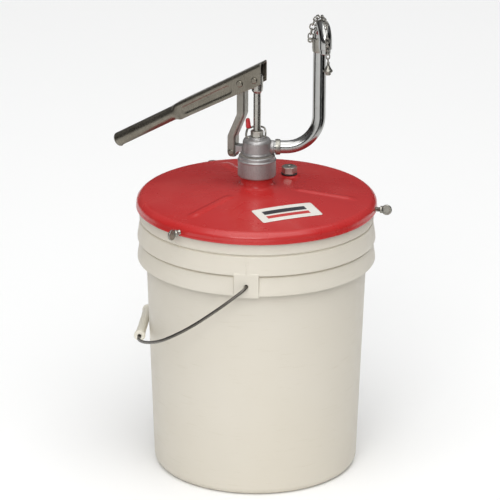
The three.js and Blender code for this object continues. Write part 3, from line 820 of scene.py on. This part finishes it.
def build_pail():
    outline = pail_outline()

    def outline_at(angle):
        off_axis = (angle % pi) - pi / 2
        across = abs(EAR_RADIUS * sin(off_axis))
        in_pad = 1 - smooth_step(PAD_HALF - 0.9, PAD_HALF + 0.9, across)
        on_seam = 1 - smooth_step(0.35, 1.0, across)
        result = []
        for radius, height, outside in outline:
            if outside:
                low = 1 - smooth_step(PAD_TOP - 0.8, PAD_TOP + 0.8, height)
                flat = PAD_FACE / cos(off_axis)
                radius += max(0.0, flat - radius) * in_pad * low
            if outside and PAD_TOP < height < 331:
                radius += 0.45 * on_seam
            if 278 < height < 281.5 and radius > 149:
                height -= 1.8 * in_pad
            result.append((radius, height))
        return result

    shell = build_mesh("pail_shell", [revolved(outline_at, pail_angles())])
    hole = rounded([(0, -8), (2.6, -8), (2.6, 3.2), (3.3, 4.6), (3.3, 9), (0, 9)], steps=2)
    drills = [
        moved(turned(hole, 32), lying((0, side, 0), (0, side * (PAD_FACE - 4), BAIL_PIVOT_HEIGHT)))
        for side in (-1, 1)
    ]
    mesh = drilled("pail_shell", shell, drills)
    place_piece("pail_shell", mesh, pail_look, "pail", ["pail"])


# ---------------------------------------------------------------- bail

BAIL_REACH = 184
BAIL_HANG = radians(37.2)


def bail_point(reach, across):
    return (-reach * cos(BAIL_HANG), across, BAIL_PIVOT_HEIGHT - reach * sin(BAIL_HANG))


def build_bail():
    half = [
        (0, 145.2), (0, 156), (3, 160.5), (12, 163.5), (48, 168), (89, 163), (131, 141),
        (157, 112), (176, 80), (BAIL_REACH, 58), (BAIL_REACH, 40), (BAIL_REACH, 15),
    ]
    near = [bail_point(reach, -y) for reach, y in half]
    far = [bail_point(reach, y) for reach, y in half]
    path = through(near + far[::-1], 14)
    piece("bail_hoop", [wire(path, 2.0, 16)], steel_look, "bail", ["bail_wire"])


def build_bail_grip():
    """A moulded grip: a waisted barrel with a round bead at each end."""
    length = 50.0
    half = [
        (2.6, 0), (2.6, length, 0.5), (5.6, length, 1.2), (7.5, length - 2.2, 1.8),
        (7.4, length - 5.2, 1.8), (6.0, length - 7.4, 1.4), (6.4, length - 10, 3), (6.0, length - 30, 8),
    ]
    mirrored = [(r, -z, *rest) for r, z, *rest in half[1:]]
    corners = [*mirrored, *half[:0:-1]]
    barrel = turned(rounded(corners, closed=True, steps=3), 64, ring=True)
    place = lying((0, 1, 0), bail_point(BAIL_REACH, 0))
    piece("bail_handle", [moved(barrel, place)], grip_look, "bail_grip", ["bail_grip"])


# ---------------------------------------------------------------- cover

CONE_SLOPE = (COVER_PAD[1] - COVER_SHOULDER[1]) / (COVER_SHOULDER[0] - COVER_PAD[0])
RIB_ANGLES = [radians(-6 + 120 * k) for k in range(3)]
RIB_HEIGHT = 1.9
PLUG_BOSS_TOP = 374.2


def cover_height(radius):
    return COVER_SHOULDER[1] + (COVER_SHOULDER[0] - radius) * CONE_SLOPE


def cover_relief(x, y, height):
    """Height of the pressed ribs and of the plug's boss above the plain cone."""
    for angle in RIB_ANGLES:
        along = x * cos(angle) + y * sin(angle)
        across = abs(y * cos(angle) - x * sin(angle))
        ends = smooth_step(46, 60, along) * (1 - smooth_step(116, 133, along))
        height += RIB_HEIGHT * ends * (1 - smooth_step(1.8, 8.0, across))
    off_plug = hypot(x - PLUG_PLACE[0], y - PLUG_PLACE[1])
    raised = 1 - smooth_step(11.4, 13.6, off_plug)
    return height + (PLUG_BOSS_TOP - height) * raised


def build_cover():
    sheet_metal = 1.5
    edge = 154.5
    outside = rounded([
        (edge - 1.2, 348.6), (edge, 348.6, 0.7), (edge, 351.0, 0.8), (edge - 0.4, 352.2, 0.8),
        (edge - 0.5, 357.6, 3.5), (148.6, 363.3, 5.5), (38, 374.8, 3), (29, 375.3, 3),
        (22, 376.6, 3.5), (20.5, 381, 3.5), (20.5, 388.6, 0.8), (17.3, 388.6),
    ], steps=6)
    inside = rounded([
        (17.3, 387.1), (19.0, 387.1, 0.5), (19.0, 380, 3), (28, 373.5, 3), (38, 373.2, 3),
        (147.6, 361.8, 3), (edge - 0.7 - sheet_metal, 357.2, 3), (edge - 0.7 - sheet_metal, 350),
    ], steps=4)
    outline = subdivided([*outside, *inside, outside[0]], 2.4)[:-1]

    def outline_at(angle):
        result = []
        for radius, height in outline:
            if 24 < radius < 146:
                plain = cover_height(radius)
                lifted = cover_relief(radius * cos(angle), radius * sin(angle), plain)
                height += lifted - plain
            result.append((radius, height))
        return result

    shell = build_mesh("cover_shell", [revolved(outline_at, full_turn(480), ring=True)])
    hole = turned([(0, 360), (6.5, 360), (6.5, 385), (0, 385)], 40)
    mesh = drilled("cover_shell", shell, [moved(hole, Matrix.Translation((*PLUG_PLACE, 0)))])
    place_piece("cover_shell", mesh, red_look, "cover", ["cover"])


def build_label():
    """A sticker that follows the sloping cover, with UVs along its length and height."""
    length, width = 82, 38.5
    columns, rows = 48, 24
    corner = 2.5
    bearing = radians(-61.6)
    reach = 95.3
    centre = Vector((reach * cos(bearing), reach * sin(bearing), 0))
    turn = Matrix.Rotation(radians(28.6), 3, "Z")
    flat = []
    for j in range(rows + 1):
        for i in range(columns + 1):
            u = i / columns
            v = j / rows
            x = (u - 0.5) * length
            y = (v - 0.5) * width
            over = hypot(max(0, abs(x) - length / 2 + corner), max(0, abs(y) - width / 2 + corner))
            pull = corner / over if over > corner else 1.0
            if pull < 1:
                x = (length / 2 - corner + (abs(x) - length / 2 + corner) * pull) * (1 if x > 0 else -1)
                y = (width / 2 - corner + (abs(y) - width / 2 + corner) * pull) * (1 if y > 0 else -1)
            place = turn @ Vector((x, y, 0)) + centre
            place.z = cover_height(hypot(place.x, place.y)) + 0.55
            flat.append((place, (u, v)))
    mesh = bpy.data.meshes.new("label_sheet")
    wide = columns + 1
    faces = [
        (j * wide + i, j * wide + i + 1, (j + 1) * wide + i + 1, (j + 1) * wide + i)
        for j in range(rows) for i in range(columns)
    ]
    mesh.from_pydata([p * MM for p, _ in flat], [], faces)
    layer = mesh.uv_layers.new(name="UVMap")
    for loop in mesh.loops:
        layer.data[loop.index].uv = flat[loop.vertex_index][1]
    place_piece(
        "label_sheet", mesh, label_look, "cover", ["label_plate"], thickness=0.5,
    )


def build_thumb_screw(number, angle):
    """A threaded shank, a collar and a flat spade to turn it by."""
    shank = threaded(3.15, 149.6, 161)
    collar = lathe([
        (0, 160.2), (4.7, 160.2, 0.5), (4.7, 162.6, 0.6), (3.0, 164.2, 0.8), (0, 164.2),
    ], 48)
    spade_centre = 168.4
    spade = lathe([
        (0, -1.1), (4.0, -1.1, 1.5), (5.4, -1.5, 1), (6.8, -1.2, 0.9), (6.8, 1.2, 0.9),
        (5.4, 1.5, 1), (4.0, 1.1, 1.5), (0, 1.1),
    ], 56)
    roll = Matrix.Rotation(pi / 2 + SPADE_ROLLS[number - 1], 4, "X")
    spade = moved(spade, Matrix.Translation((spade_centre, 0, 0)) @ roll)
    place = Matrix.Translation((0, 0, SCREW_HEIGHT)) @ Matrix.Rotation(angle, 4, "Z")
    upright = place @ Matrix.Rotation(pi / 2, 4, "Y")
    parts = [moved(shank, upright), moved(collar, upright), moved(spade, place)]
    name = f"thumb_screw_{number}"
    piece(f"spade_screw_{number}", parts, zinc_look, name, [name])


def build_fill_plug():
    place = Matrix.Translation((*PLUG_PLACE, 0))
    seat = 376.6
    cap = hex_nut(17.7, 2.6, seat, seat + 8.6, low_chamfer=False)
    dish = lathe([(0, seat + 0.2), (3.0, seat + 0.2), (3.0, seat + 7.4, 0.4), (0, seat + 7.0)], 40)
    shank = threaded(6.2, seat - 10.9, seat + 0.4, 1.5, 0.7)
    parts = [moved(part, place) for part in (cap, dish, shank)]
    piece("hex_plug", parts, zinc_look, "fill_plug", ["fill_plug"])
    washer = lathe([
        (6.5, 374.6, 0.5), (10.5, 374.6, 0.7), (10.5, 376.3, 0.7), (6.5, 376.3, 0.5),
    ], 64, closed=True)
    piece("plug_washer", [moved(washer, place)], rubber_look, "fill_plug", ["fill_plug_washer"])


# ---------------------------------------------------------------- pump head

def build_head():
    """The lower casting: stub, fluted collar and seam ring."""
    corners = [
        (14.6, 357), (17, 357, 0.6), (17, 389, 0.4), (23.4, 389, 0.5), (24.6, 390.3, 0.8),
        (24.4, 409.2, 0.8), (24.75, 409.9, 0.4), (24.75, 411.2, 0.6), (23.4, 412.4, 0.6),
        (23.2, 415.4, 0.6), (22.2, 417, 0.8), (12.7, 417, 0.4), (12.7, 384.3, 0.3), (14.6, 384.3, 0.3),
    ]
    outline = rounded(corners, closed=True, steps=3)

    def outline_at(angle):
        flute = 0.16 * (0.5 + 0.5 * cos(48 * angle)) ** 2
        return [(r - flute if r > 24 and 391.5 < z < 408.5 else r, z) for r, z in outline]

    outline = subdivided(outline + outline[:1], 3)[:-1]
    base = revolved(outline_at, full_turn(288), ring=True)
    piece("head_casting", [base], cast_look, "cover", ["head_base"])


def build_pump_head():
    """The upper casting with its outlet boss and the ear of the link, melted into one shape."""
    body = lathe([
        (0, 418.2), (19.7, 418.2, 0.8), (19.9, 419.6, 0.6), (18.7, 421.4, 0.8), (18.2, 435, 1),
        (16.3, 438.4, 2.2), (10.4, 438.6, 0.8), (10.0, 441, 0.8), (0, 441),
    ], 120)
    outward = SPOUT_TURN @ Vector((1, 0, 0))
    boss = moved(
        lathe([(0, 6), (9.6, 6), (8.6, 19, 1), (8.6, 21.9, 0.6), (0, 21.9)], 48),
        lying(outward, (0, 0, OUTLET_HEIGHT)),
    )
    outline = [
        (-12, 427), (-12, 418.8), (-24.6, 418.8), (-28, 412.6), (-32.3, 411.9), (-37.8, 415.5),
        (-37.8, 421.5), (-29, 427),
    ]
    outline = rounded(outline, closed=True, steps=3, fillet=2.2)
    ear_half = 5.9
    ear_rows = [[LEVER_TURN @ Vector((x, y, z)) for x, z in outline] for y in (-ear_half, ear_half)]
    ear_points, ear_faces = sheet(ear_rows, wrap_columns=True)
    wide = len(outline)
    ear_faces = [*ear_faces, tuple(range(wide)), tuple(range(2 * wide - 1, wide - 1, -1))]
    mesh = fused("pump_casting", [body, boss, (ear_points, ear_faces)], 0.55, 4)
    place_piece("pump_casting", mesh, cast_look, "cover", ["pump_head"])


def build_gland():
    nut = hex_nut(14.6, 5.1, 441.3, 449)
    skirt = turned([(5.1, 438.4), (6.9, 438.4), (6.9, 441.6), (5.1, 441.6)], 48, ring=True)
    piece("packing_nut", [nut, skirt], zinc_look, "cover", ["gland_nut"])


def build_mounting_nut():
    nut = hex_nut(44, 17.3, 361.9, 370.9)
    piece("clamp_nut", [nut], zinc_look, "cover", ["mounting_nut"])


# ---------------------------------------------------------------- spout, collar, chain and plug

def hook_direction():
    return Vector((cos(HOOK_ANGLE), sin(HOOK_ANGLE), 0))


def spout_path():
    """Out of the head, round the elbow, up the riser, over the hook and down to the tip."""
    bend = 42.0
    elbow_x = RISER_X - bend
    elbow = Vector((elbow_x, 0, OUTLET_HEIGHT + bend))
    away = hook_direction()
    hook_centre = Vector((RISER_X, 0, HOOK_HEIGHT)) + away * HOOK_RADIUS
    start = [Vector((22.4 + k * (elbow_x - 22.4) / 6, 0, OUTLET_HEIGHT)) for k in range(6)]
    first = arc(elbow, bend, -UP, Vector((1, 0, 0)), pi / 2, 40)
    rise = [Vector((RISER_X, 0, elbow.z + k * (HOOK_HEIGHT - elbow.z) / 20)) for k in range(1, 20)]
    hook = arc(hook_centre, HOOK_RADIUS, -away, UP, pi, 44)
    leg_top = hook[-1]
    leg = [leg_top - UP * k for k in (2, 4, 6)]
    return [SPOUT_TURN @ p for p in start + first + rise + hook + leg]


def build_spout():
    path = spout_path()
    piece("spout_pipe", [pipe(path, 8.3, 6.9)], chrome_look, "cover", ["delivery_pipe"])
    outward = SPOUT_TURN @ Vector((1, 0, 0))
    ferrule = lathe([
        (8.6, 23.4, 0.3), (10.0, 23.4, 0.7), (10.2, 26, 0.8), (9.9, 29.4, 0.7), (8.6, 30, 0.3),
    ], 72, closed=True)
    ferrule = moved(ferrule, lying(outward, (0, 0, OUTLET_HEIGHT)))
    piece("spout_nut", [ferrule], zinc_look, "cover", ["outlet_nut"])
    leg = SPOUT_TURN @ (Vector((RISER_X, 0, 0)) + hook_direction() * 2 * HOOK_RADIUS)
    tip = lathe([
        (4.6, 560.6, 0.3), (5.6, 560.6, 0.4), (6.6, 561.6, 0.5), (7.4, 567.7, 0.4),
        (6.6, 567.7, 0.2), (6.6, 572, 0.4), (4.6, 572, 0.4),
    ], 48, closed=True)
    tip = moved(tip, Matrix.Translation(leg))
    piece("spout_tip", [tip], chrome_look, "cover", ["nozzle_tip"])


def build_collar():
    """A sleeve round the riser with a rolled lip and an eye for the chain."""
    sleeve = lathe([
        (8.6, 554, 0.3), (9.0, 554, 0.3), (9.5, 556, 1), (9.8, 560, 1.5), (9.8, 571.6, 0.8),
        (9.5, 572.6, 0.5), (8.6, 572.6, 0.3),
    ], 72, closed=True)
    sleeve = moved(sleeve, Matrix.Translation((RISER_X, 0, 0)))
    eye = moved(
        lathe([(1.4, -1.1), (3.4, -1.1, 0.5), (3.4, 1.1, 0.5), (1.4, 1.1)], 40, closed=True),
        Matrix.Translation((RISER_X - 12.2, 0, 568.5)) @ Matrix.Rotation(pi / 2, 4, "X"),
    )
    stem = block((RISER_X - 10.6, -1.1, 566.4), (RISER_X - 9.4, 1.1, 570.6))
    parts = [moved(part, SPOUT_TURN) for part in (sleeve, eye, stem)]
    piece("chain_band", parts, zinc_look, "cover", ["chain_collar"], bevel=0.3)


def chain_link(centre, along, normal, length, width, thick):
    """One oval link of round wire."""
    side = normal.cross(along).normalized()
    end = (width - thick) / 2
    straight = (length - width) / 2
    path = []
    for way in (1, -1):
        for k in range(11):
            angle = pi * k / 10 - pi / 2
            path.append(
                centre + along * way * (straight + end * cos(angle)) + side * way * end * sin(angle)
            )
    return wire(path, thick / 2, 10, closed=True)


def chain_along(path, sizes):
    """Links laid end to end along a path, each one a quarter turn from the last."""
    lengths = [0.0]
    for a, b in zip(path, path[1:]):
        lengths.append(lengths[-1] + (b - a).length)

    def at(distance):
        table = list(zip(lengths, path))
        for (s0, p0), (s1, p1) in zip(table, table[1:]):
            if distance <= s1:
                return p0.lerp(p1, (distance - s0) / (s1 - s0))
        return path[-1]

    links = []
    travelled = 0.0
    count = 0
    while True:
        length, width, thick = sizes(count)
        pitch = length - 2 * thick
        if travelled + length > lengths[-1] + 1.5:
            break
        start = at(travelled)
        end = at(travelled + length)
        along = (end - start).normalized()
        square = along.orthogonal().normalized()
        roll = radians(35 + 90 * (count % 2))
        normal = Matrix.Rotation(roll, 3, along) @ square
        links.append(chain_link((start + end) / 2, along, normal, length, width, thick))
        travelled += pitch
        count += 1
    return links


def build_chain():
    crest = 604
    drape = through([
        (66.2, 0, 568.6), (67.4, -0.6, 578), (68.6, -3, 587.5), (71.4, -6, 596.5), (76.5, -11, crest - 1),
        (81, -19, crest), (84, -27, crest - 1.6), (86, -37, crest - 6.6), (86.4, -43, 595),
    ])
    drape = [SPOUT_TURN @ p for p in drape]

    def drape_size(count):
        return (10.2, 8.0, 1.7) if count < 4 else (8.6, 6.0, 1.5)

    piece("chain_over", chain_along(drape, drape_size), chain_look, "cover", ["chain_drape"])
    x, y, z = 86.5, -47.0, 591
    tail = through([
        (x, y, z), (x + 0.5, y - 0.6, z - 12), (x + 1.2, y - 0.4, z - 26), (x + 1.8, y, z - 39.6),
    ])
    tail = [SPOUT_TURN @ p for p in tail]
    links = chain_along(tail, lambda count: (8.2, 5.8, 1.5))
    piece("chain_hanging", links, chain_look, "nozzle_plug", ["chain_tail"])
    top = z - 39.4
    plug = lathe([
        (0, top), (1.7, top, 0.4), (1.9, top - 2.2, 0.5), (4.4, top - 6.8, 0.8), (5.8, top - 8.6, 0.6),
        (5.8, top - 10.4, 0.6), (4.0, top - 11.2, 0.4), (3.4, top - 14.4, 0.6), (0, top - 15),
    ], 48)
    loop = chain_link(Vector((0, 0, top + 0.9)), Vector((0, 0, 1)), Vector((0, 1, 0)), 4.6, 3.8, 1.0)
    place = SPOUT_TURN @ Matrix.Translation((x + 1.8, y, 0))
    parts = [moved(plug, place), moved(loop, place)]
    piece("mouth_plug", parts, zinc_look, "nozzle_plug", ["nozzle_plug"])


# ---------------------------------------------------------------- rod catch

def build_catch():
    low = 439.4
    loop = through([
        (8.2, 0, low), (9.8, 0, low + 0.2), (10.7, 0.3, low + 1.8), (10.6, 1.6, low + 8),
        (9.2, 5.4, low + 11.2), (4, 8.8, low + 12), (-4, 8.6, low + 12), (-9.2, 4.8, low + 11.2),
        (-10.8, 1.5, low + 12.4), (-11.8, 0.2, low + 23.8),
    ], 8)
    foot = through([
        (-8.2, 0, low), (-11.4, 0, low), (-13.6, 0, low + 1.4), (-13.4, 0.6, low + 7),
        (-11.6, 1.4, low + 13),
    ], 8)
    wires = [
        wire([SPOUT_TURN @ p for p in path], radius, 14)
        for path, radius in ((loop, 1.2), (foot, 1.4))
    ]
    piece("catch_wire", wires, zinc_look, "rod_catch", ["latch_wire"])
    start = SPOUT_TURN @ Vector((-10.9, 1.3, low + 12.8))
    end = SPOUT_TURN @ Vector((-12.0, 0.2, low + 25.2))
    reach = (end - start).length
    sleeve = lathe([
        (1.8, 0), (3.0, 0, 0.5), (3.3, 1.2, 0.8), (2.8, reach - 1.8, 1.2), (2.2, reach, 0.8),
        (0, reach + 0.1),
    ], 40)
    piece("catch_sleeve", [moved(sleeve, lying(end - start, start))], vinyl_look, "rod_catch",
          ["latch_sleeve"])


# ---------------------------------------------------------------- lever, link and pins

def lever_point(s, t, y):
    """A point from its place along the lever, square to it and across it."""
    x = ROD_PIN[0] - s * cos(LEVER_SLOPE) - t * sin(LEVER_SLOPE)
    z = ROD_PIN[1] - s * sin(LEVER_SLOPE) + t * cos(LEVER_SLOPE)
    return LEVER_TURN @ Vector((x, y, z))


GRIP_CENTRE = 4.4
GRIP_RADIUS = 8.3
GRIP_DROOP = 1.5
GRIP_END = 219.5
CHANNEL_START = -18.4
CHANNEL_END = 134
CHANNEL_HALF = 10.4
ROLL_START = 116
ROLL_END = 132
PANEL_START = 34
PANEL_END = 112
PANEL_DEPTH = 0.9
END_SLANT = 0.565
CHANNEL_BOTTOM = [(CHANNEL_START, -8.0), (0, -8.6), (26, -7.2), (104, -6.4), (122, -6.6), (134, -5.2)]
SECTION_POINTS = 61


def channel_section(s):
    """Half-width points (y, t) of the open channel's middle surface, flange tip to flange tip."""
    half = CHANNEL_HALF
    corner = 2.6
    top = 15.3 - 1.8 * (s - CHANNEL_START) / (CHANNEL_END - CHANNEL_START)
    bottom = between(s, CHANNEL_BOTTOM)
    side = [(half, bottom), (half, top - corner)]
    bend = [
        (half - corner + corner * cos(a), top - corner + corner * sin(a))
        for a in (radians(22.5 * k) for k in range(1, 4))
    ]
    right = [*side, *bend, (half - corner, top)]
    left = [(-y, t) for y, t in reversed(right)]
    return right + left


def grip_section():
    """The rolled grip's middle surface, nearly closed, with its slot underneath."""
    radius = GRIP_RADIUS
    slot = 0.45
    return [
        (radius * sin(a), GRIP_CENTRE - radius * cos(a))
        for a in (slot + (2 * pi - 2 * slot) * k / 60 for k in range(61))
    ]


def resampled(section, count):
    lengths = [0.0]
    for a, b in zip(section, section[1:]):
        lengths.append(lengths[-1] + hypot(b[0] - a[0], b[1] - a[1]))
    ys = [(s, p[0]) for s, p in zip(lengths, section)]
    ts = [(s, p[1]) for s, p in zip(lengths, section)]
    return [
        (between(lengths[-1] * k / (count - 1), ys), between(lengths[-1] * k / (count - 1), ts))
        for k in range(count)
    ]


def panel_dent(s, t, top, bottom):
    """How far the side panel is pressed in: a long recess with round ends."""
    middle = (top + bottom) / 2 - 0.6
    half = (top - bottom) / 2 - 5.4
    nearest = min(max(s, PANEL_START + half), PANEL_END - half)
    away = hypot(s - nearest, t - middle)
    return PANEL_DEPTH * (1 - smooth_step(half - 1.0, half + 1.0, away))


def lever_stations():
    ends = [CHANNEL_START + k * 1.5 for k in range(28)]
    body = [22.5 + k * 2.0 for k in range(1, 42)]
    turn = [104.5 + k * 1.0 for k in range(1, 34)]
    grip = [137.5 + k * (GRIP_END - 137.5) / 24 for k in range(1, 25)]
    return ends + body + turn + grip


def build_lever():
    round_section = resampled(grip_section(), SECTION_POINTS)
    rows = []
    for s in lever_stations():
        open_section = resampled(channel_section(min(s, CHANNEL_END)), SECTION_POINTS)
        top = max(t for _, t in open_section)
        bottom = min(t for _, t in open_section)
        rolled = smooth_step(ROLL_START, ROLL_END, s)
        droop = GRIP_DROOP * max(0.0, s - ROLL_START) / (GRIP_END - ROLL_START)
        slant = END_SLANT * (1 - smooth_step(CHANNEL_START, 22, s))
        row = []
        for (y0, t0), (y1, t1) in zip(open_section, round_section):
            on_side = 1.0 if abs(abs(y0) - CHANNEL_HALF) < 0.01 else 0.0
            pressed = panel_dent(s, t0, top, bottom) * on_side
            y0 -= pressed * (1 if y0 > 0 else -1)
            y = y0 + (y1 - y0) * rolled
            t = t0 + (t1 - t0) * rolled - droop
            row.append(lever_point(s + slant * (top - t), t, y))
        rows.append(row)
    cap = lathe([
        (0, -4), (7.2, -4, 0.3), (7.2, -1, 0.2), (9.3, -0.6, 0.3), (9.3, 0.6, 1.2), (8.0, 2.9, 1.6),
        (4.6, 4.2, 2), (0, 4.5),
    ], 64)
    along = (lever_point(1, 0, 0) - lever_point(0, 0, 0)).normalized()
    place = lying(along, lever_point(GRIP_END, GRIP_CENTRE - GRIP_DROOP, 0))
    piece("lever_arm", [sheet(rows)], lever_look, "lever", ["lever"], bevel=0.35, thickness=2.0)
    piece("lever_end_cap", [moved(cap, place)], lever_look, "lever", [])


def link_centre(z):
    """Where the dogleg link's middle line stands at a height."""
    low, high = 439.5, 469.5
    t = (z - low) / (high - low)
    soft = 0.06
    if t < soft:
        eased = 0.0 if t < -soft else (t + soft) ** 2 / (4 * soft)
    elif t > 1 - soft:
        eased = 1.0 if t > 1 + soft else 1 - (1 + soft - t) ** 2 / (4 * soft)
    else:
        eased = t
    return LINK_FOOT[0] + (FULCRUM[0] - LINK_FOOT[0]) * eased


def build_link():
    """A folded channel with its web towards the rod."""
    half, corner, front = 7.6, 1.8, 4.1
    rows = []
    low, high = 412.2, 516.2
    steps = 90
    for k in range(steps + 1):
        z = low + (high - low) * k / steps
        near_end = max(0.0, (LINK_FOOT[1] - z) / 5.9, (z - FULCRUM[1]) / 5.0)
        depth = 5.0 * sqrt(max(0.05, 1 - near_end ** 2))
        centre = link_centre(z)
        side = [(-depth, half), (front - corner, half)]
        bend = [
            (front - corner + corner * sin(a), half - corner + corner * cos(a))
            for a in (radians(30 * j) for j in (1, 2))
        ]
        right = [*subdivided(side, 1.5), *bend, (front, half - corner)]
        web = subdivided([(front, half - corner), (front, corner - half)], 2.0)
        left = [(x, -y) for x, y in reversed(right)]
        section = resampled([*right, *web[1:-1], *left], 33)
        rows.append([LEVER_TURN @ Vector((centre + x, y, z)) for x, y in section])
    piece("link_channel", [sheet(rows)], link_look, "link", ["link"], bevel=0.3, thickness=1.8)


def build_pin(name, place, radius, reach, body, nodes):
    """A headed pin across the lever's plane, kept in by a spring clip."""
    pin = lathe([
        (0, -reach - 1.5), (radius + 0.4, -reach - 1.4, 0.8), (radius + 1.3, -reach - 0.8, 0.5),
        (radius + 1.3, -reach, 0.2), (radius, -reach, 0.2), (radius, reach + 3.4, 0.5),
        (radius - 0.6, reach + 4, 0.3), (0, reach + 4),
    ], 48)
    x, z = place
    matrix = LEVER_TURN @ Matrix.Translation((x, 0, z)) @ Matrix.Rotation(-pi / 2, 4, "X")
    piece(f"{name}_shank", [moved(pin, matrix)], lever_look, body, nodes[:1])
    clip = arc(
        Vector((0, 0, reach + 1.2)), radius + 0.85, Vector((1, 0, 0)), Vector((0, 1, 0)), radians(300), 40,
    )
    piece(f"{name}_keeper", [moved(wire(clip, 0.8, 10), matrix)], lever_look, body, nodes[1:])


def build_pins():
    build_pin("link_axle", LINK_FOOT, 2.75, LINK_SIDE, "link", ["link_pin", "link_clip"])
    build_pin("fulcrum_axle", FULCRUM, 3.0, LEVER_SIDE, "lever", ["fulcrum_pin", "fulcrum_clip"])
    build_pin("rod_axle", ROD_PIN, 2.75, LEVER_SIDE, "rod", ["rod_pin", "rod_pin_clip"])


# ---------------------------------------------------------------- rod, cylinder and valves

def build_rod():
    """A bright rod with a knuckle at its upper end."""
    shaft = lathe([
        (0, 88), (4.2, 88, 0.4), (4.8, 89, 0.4), (4.8, 499, 0.6), (6.9, 501.5, 1.4), (7.4, 506, 1.6),
        (7.4, 521, 1.6), (6.2, 524.4, 1.6), (0, 525),
    ], 64)
    piece("piston_rod", [shaft], rod_look, "rod", ["pump_rod"])


def build_cylinder():
    tube = lathe([
        (12.7, 26, 0.3), (14.3, 26, 0.4), (14.3, 384, 0.4), (12.7, 384, 0.3),
    ], 96, closed=True)
    piece("barrel", [tube], rod_look, "cover", ["pump_cylinder"])
    foot = lathe([
        (5, 10, 0.6), (13, 10, 1.5), (17, 14, 1.5), (17, 38.4, 1.2), (15.8, 40, 0.4), (14.6, 40, 0.2),
        (14.6, 25.7, 0.2), (9.6, 25.7, 0.4), (9.6, 19.2, 0.4), (5, 17.2, 0.6),
    ], 96, closed=True)
    piece("foot_casting", [foot], cast_look, "cover", ["foot_valve"])
    piston = lathe([
        (4.2, 62, 0.4), (9.6, 62, 0.3), (9.6, 69, 0.3), (12.4, 69, 0.4), (12.4, 76, 0.5), (6.6, 76, 0.4),
        (6.6, 68, 0.4), (4.2, 66, 0.4),
    ], 96, closed=True)
    piece("piston_body", [piston], brass_look, "rod", ["piston"])


def build_ball(name, radius, height, body, node):
    outline = [
        (radius * sin(pi * k / 24), height - radius * cos(pi * k / 24)) for k in range(25)
    ]
    piece(name, [turned(outline, 48)], rod_look, body, [node])


def build_balls():
    build_ball("piston_check_ball", 5.6, 70, "piston_ball", "piston_ball")
    build_ball("foot_check_ball", 7.0, 22.4, "foot_ball", "foot_ball")


# ---------------------------------------------------------------- everything together

bpy.context.scene.view_settings.view_transform = "Standard"
add_camera()
add_lights()
set_world()
add_floor(floor_paint())
add_card("dark_card_right", radians(78), 0.62, card_black_look)
add_card("grey_card_right", radians(37), 0.44, card_grey_look)
add_card("dark_card_left", radians(-84), 0.36, card_black_look)
dress_cad_nodes()
build_pail()
build_bail()
build_bail_grip()
build_cover()
build_label()
for index, bearing in enumerate(SCREW_ANGLES):
    build_thumb_screw(index + 1, bearing)
build_fill_plug()
build_head()
build_pump_head()
build_gland()
build_mounting_nut()
build_spout()
build_collar()
build_chain()
build_catch()
build_lever()
build_link()
build_pins()
build_rod()
build_cylinder()
build_balls()
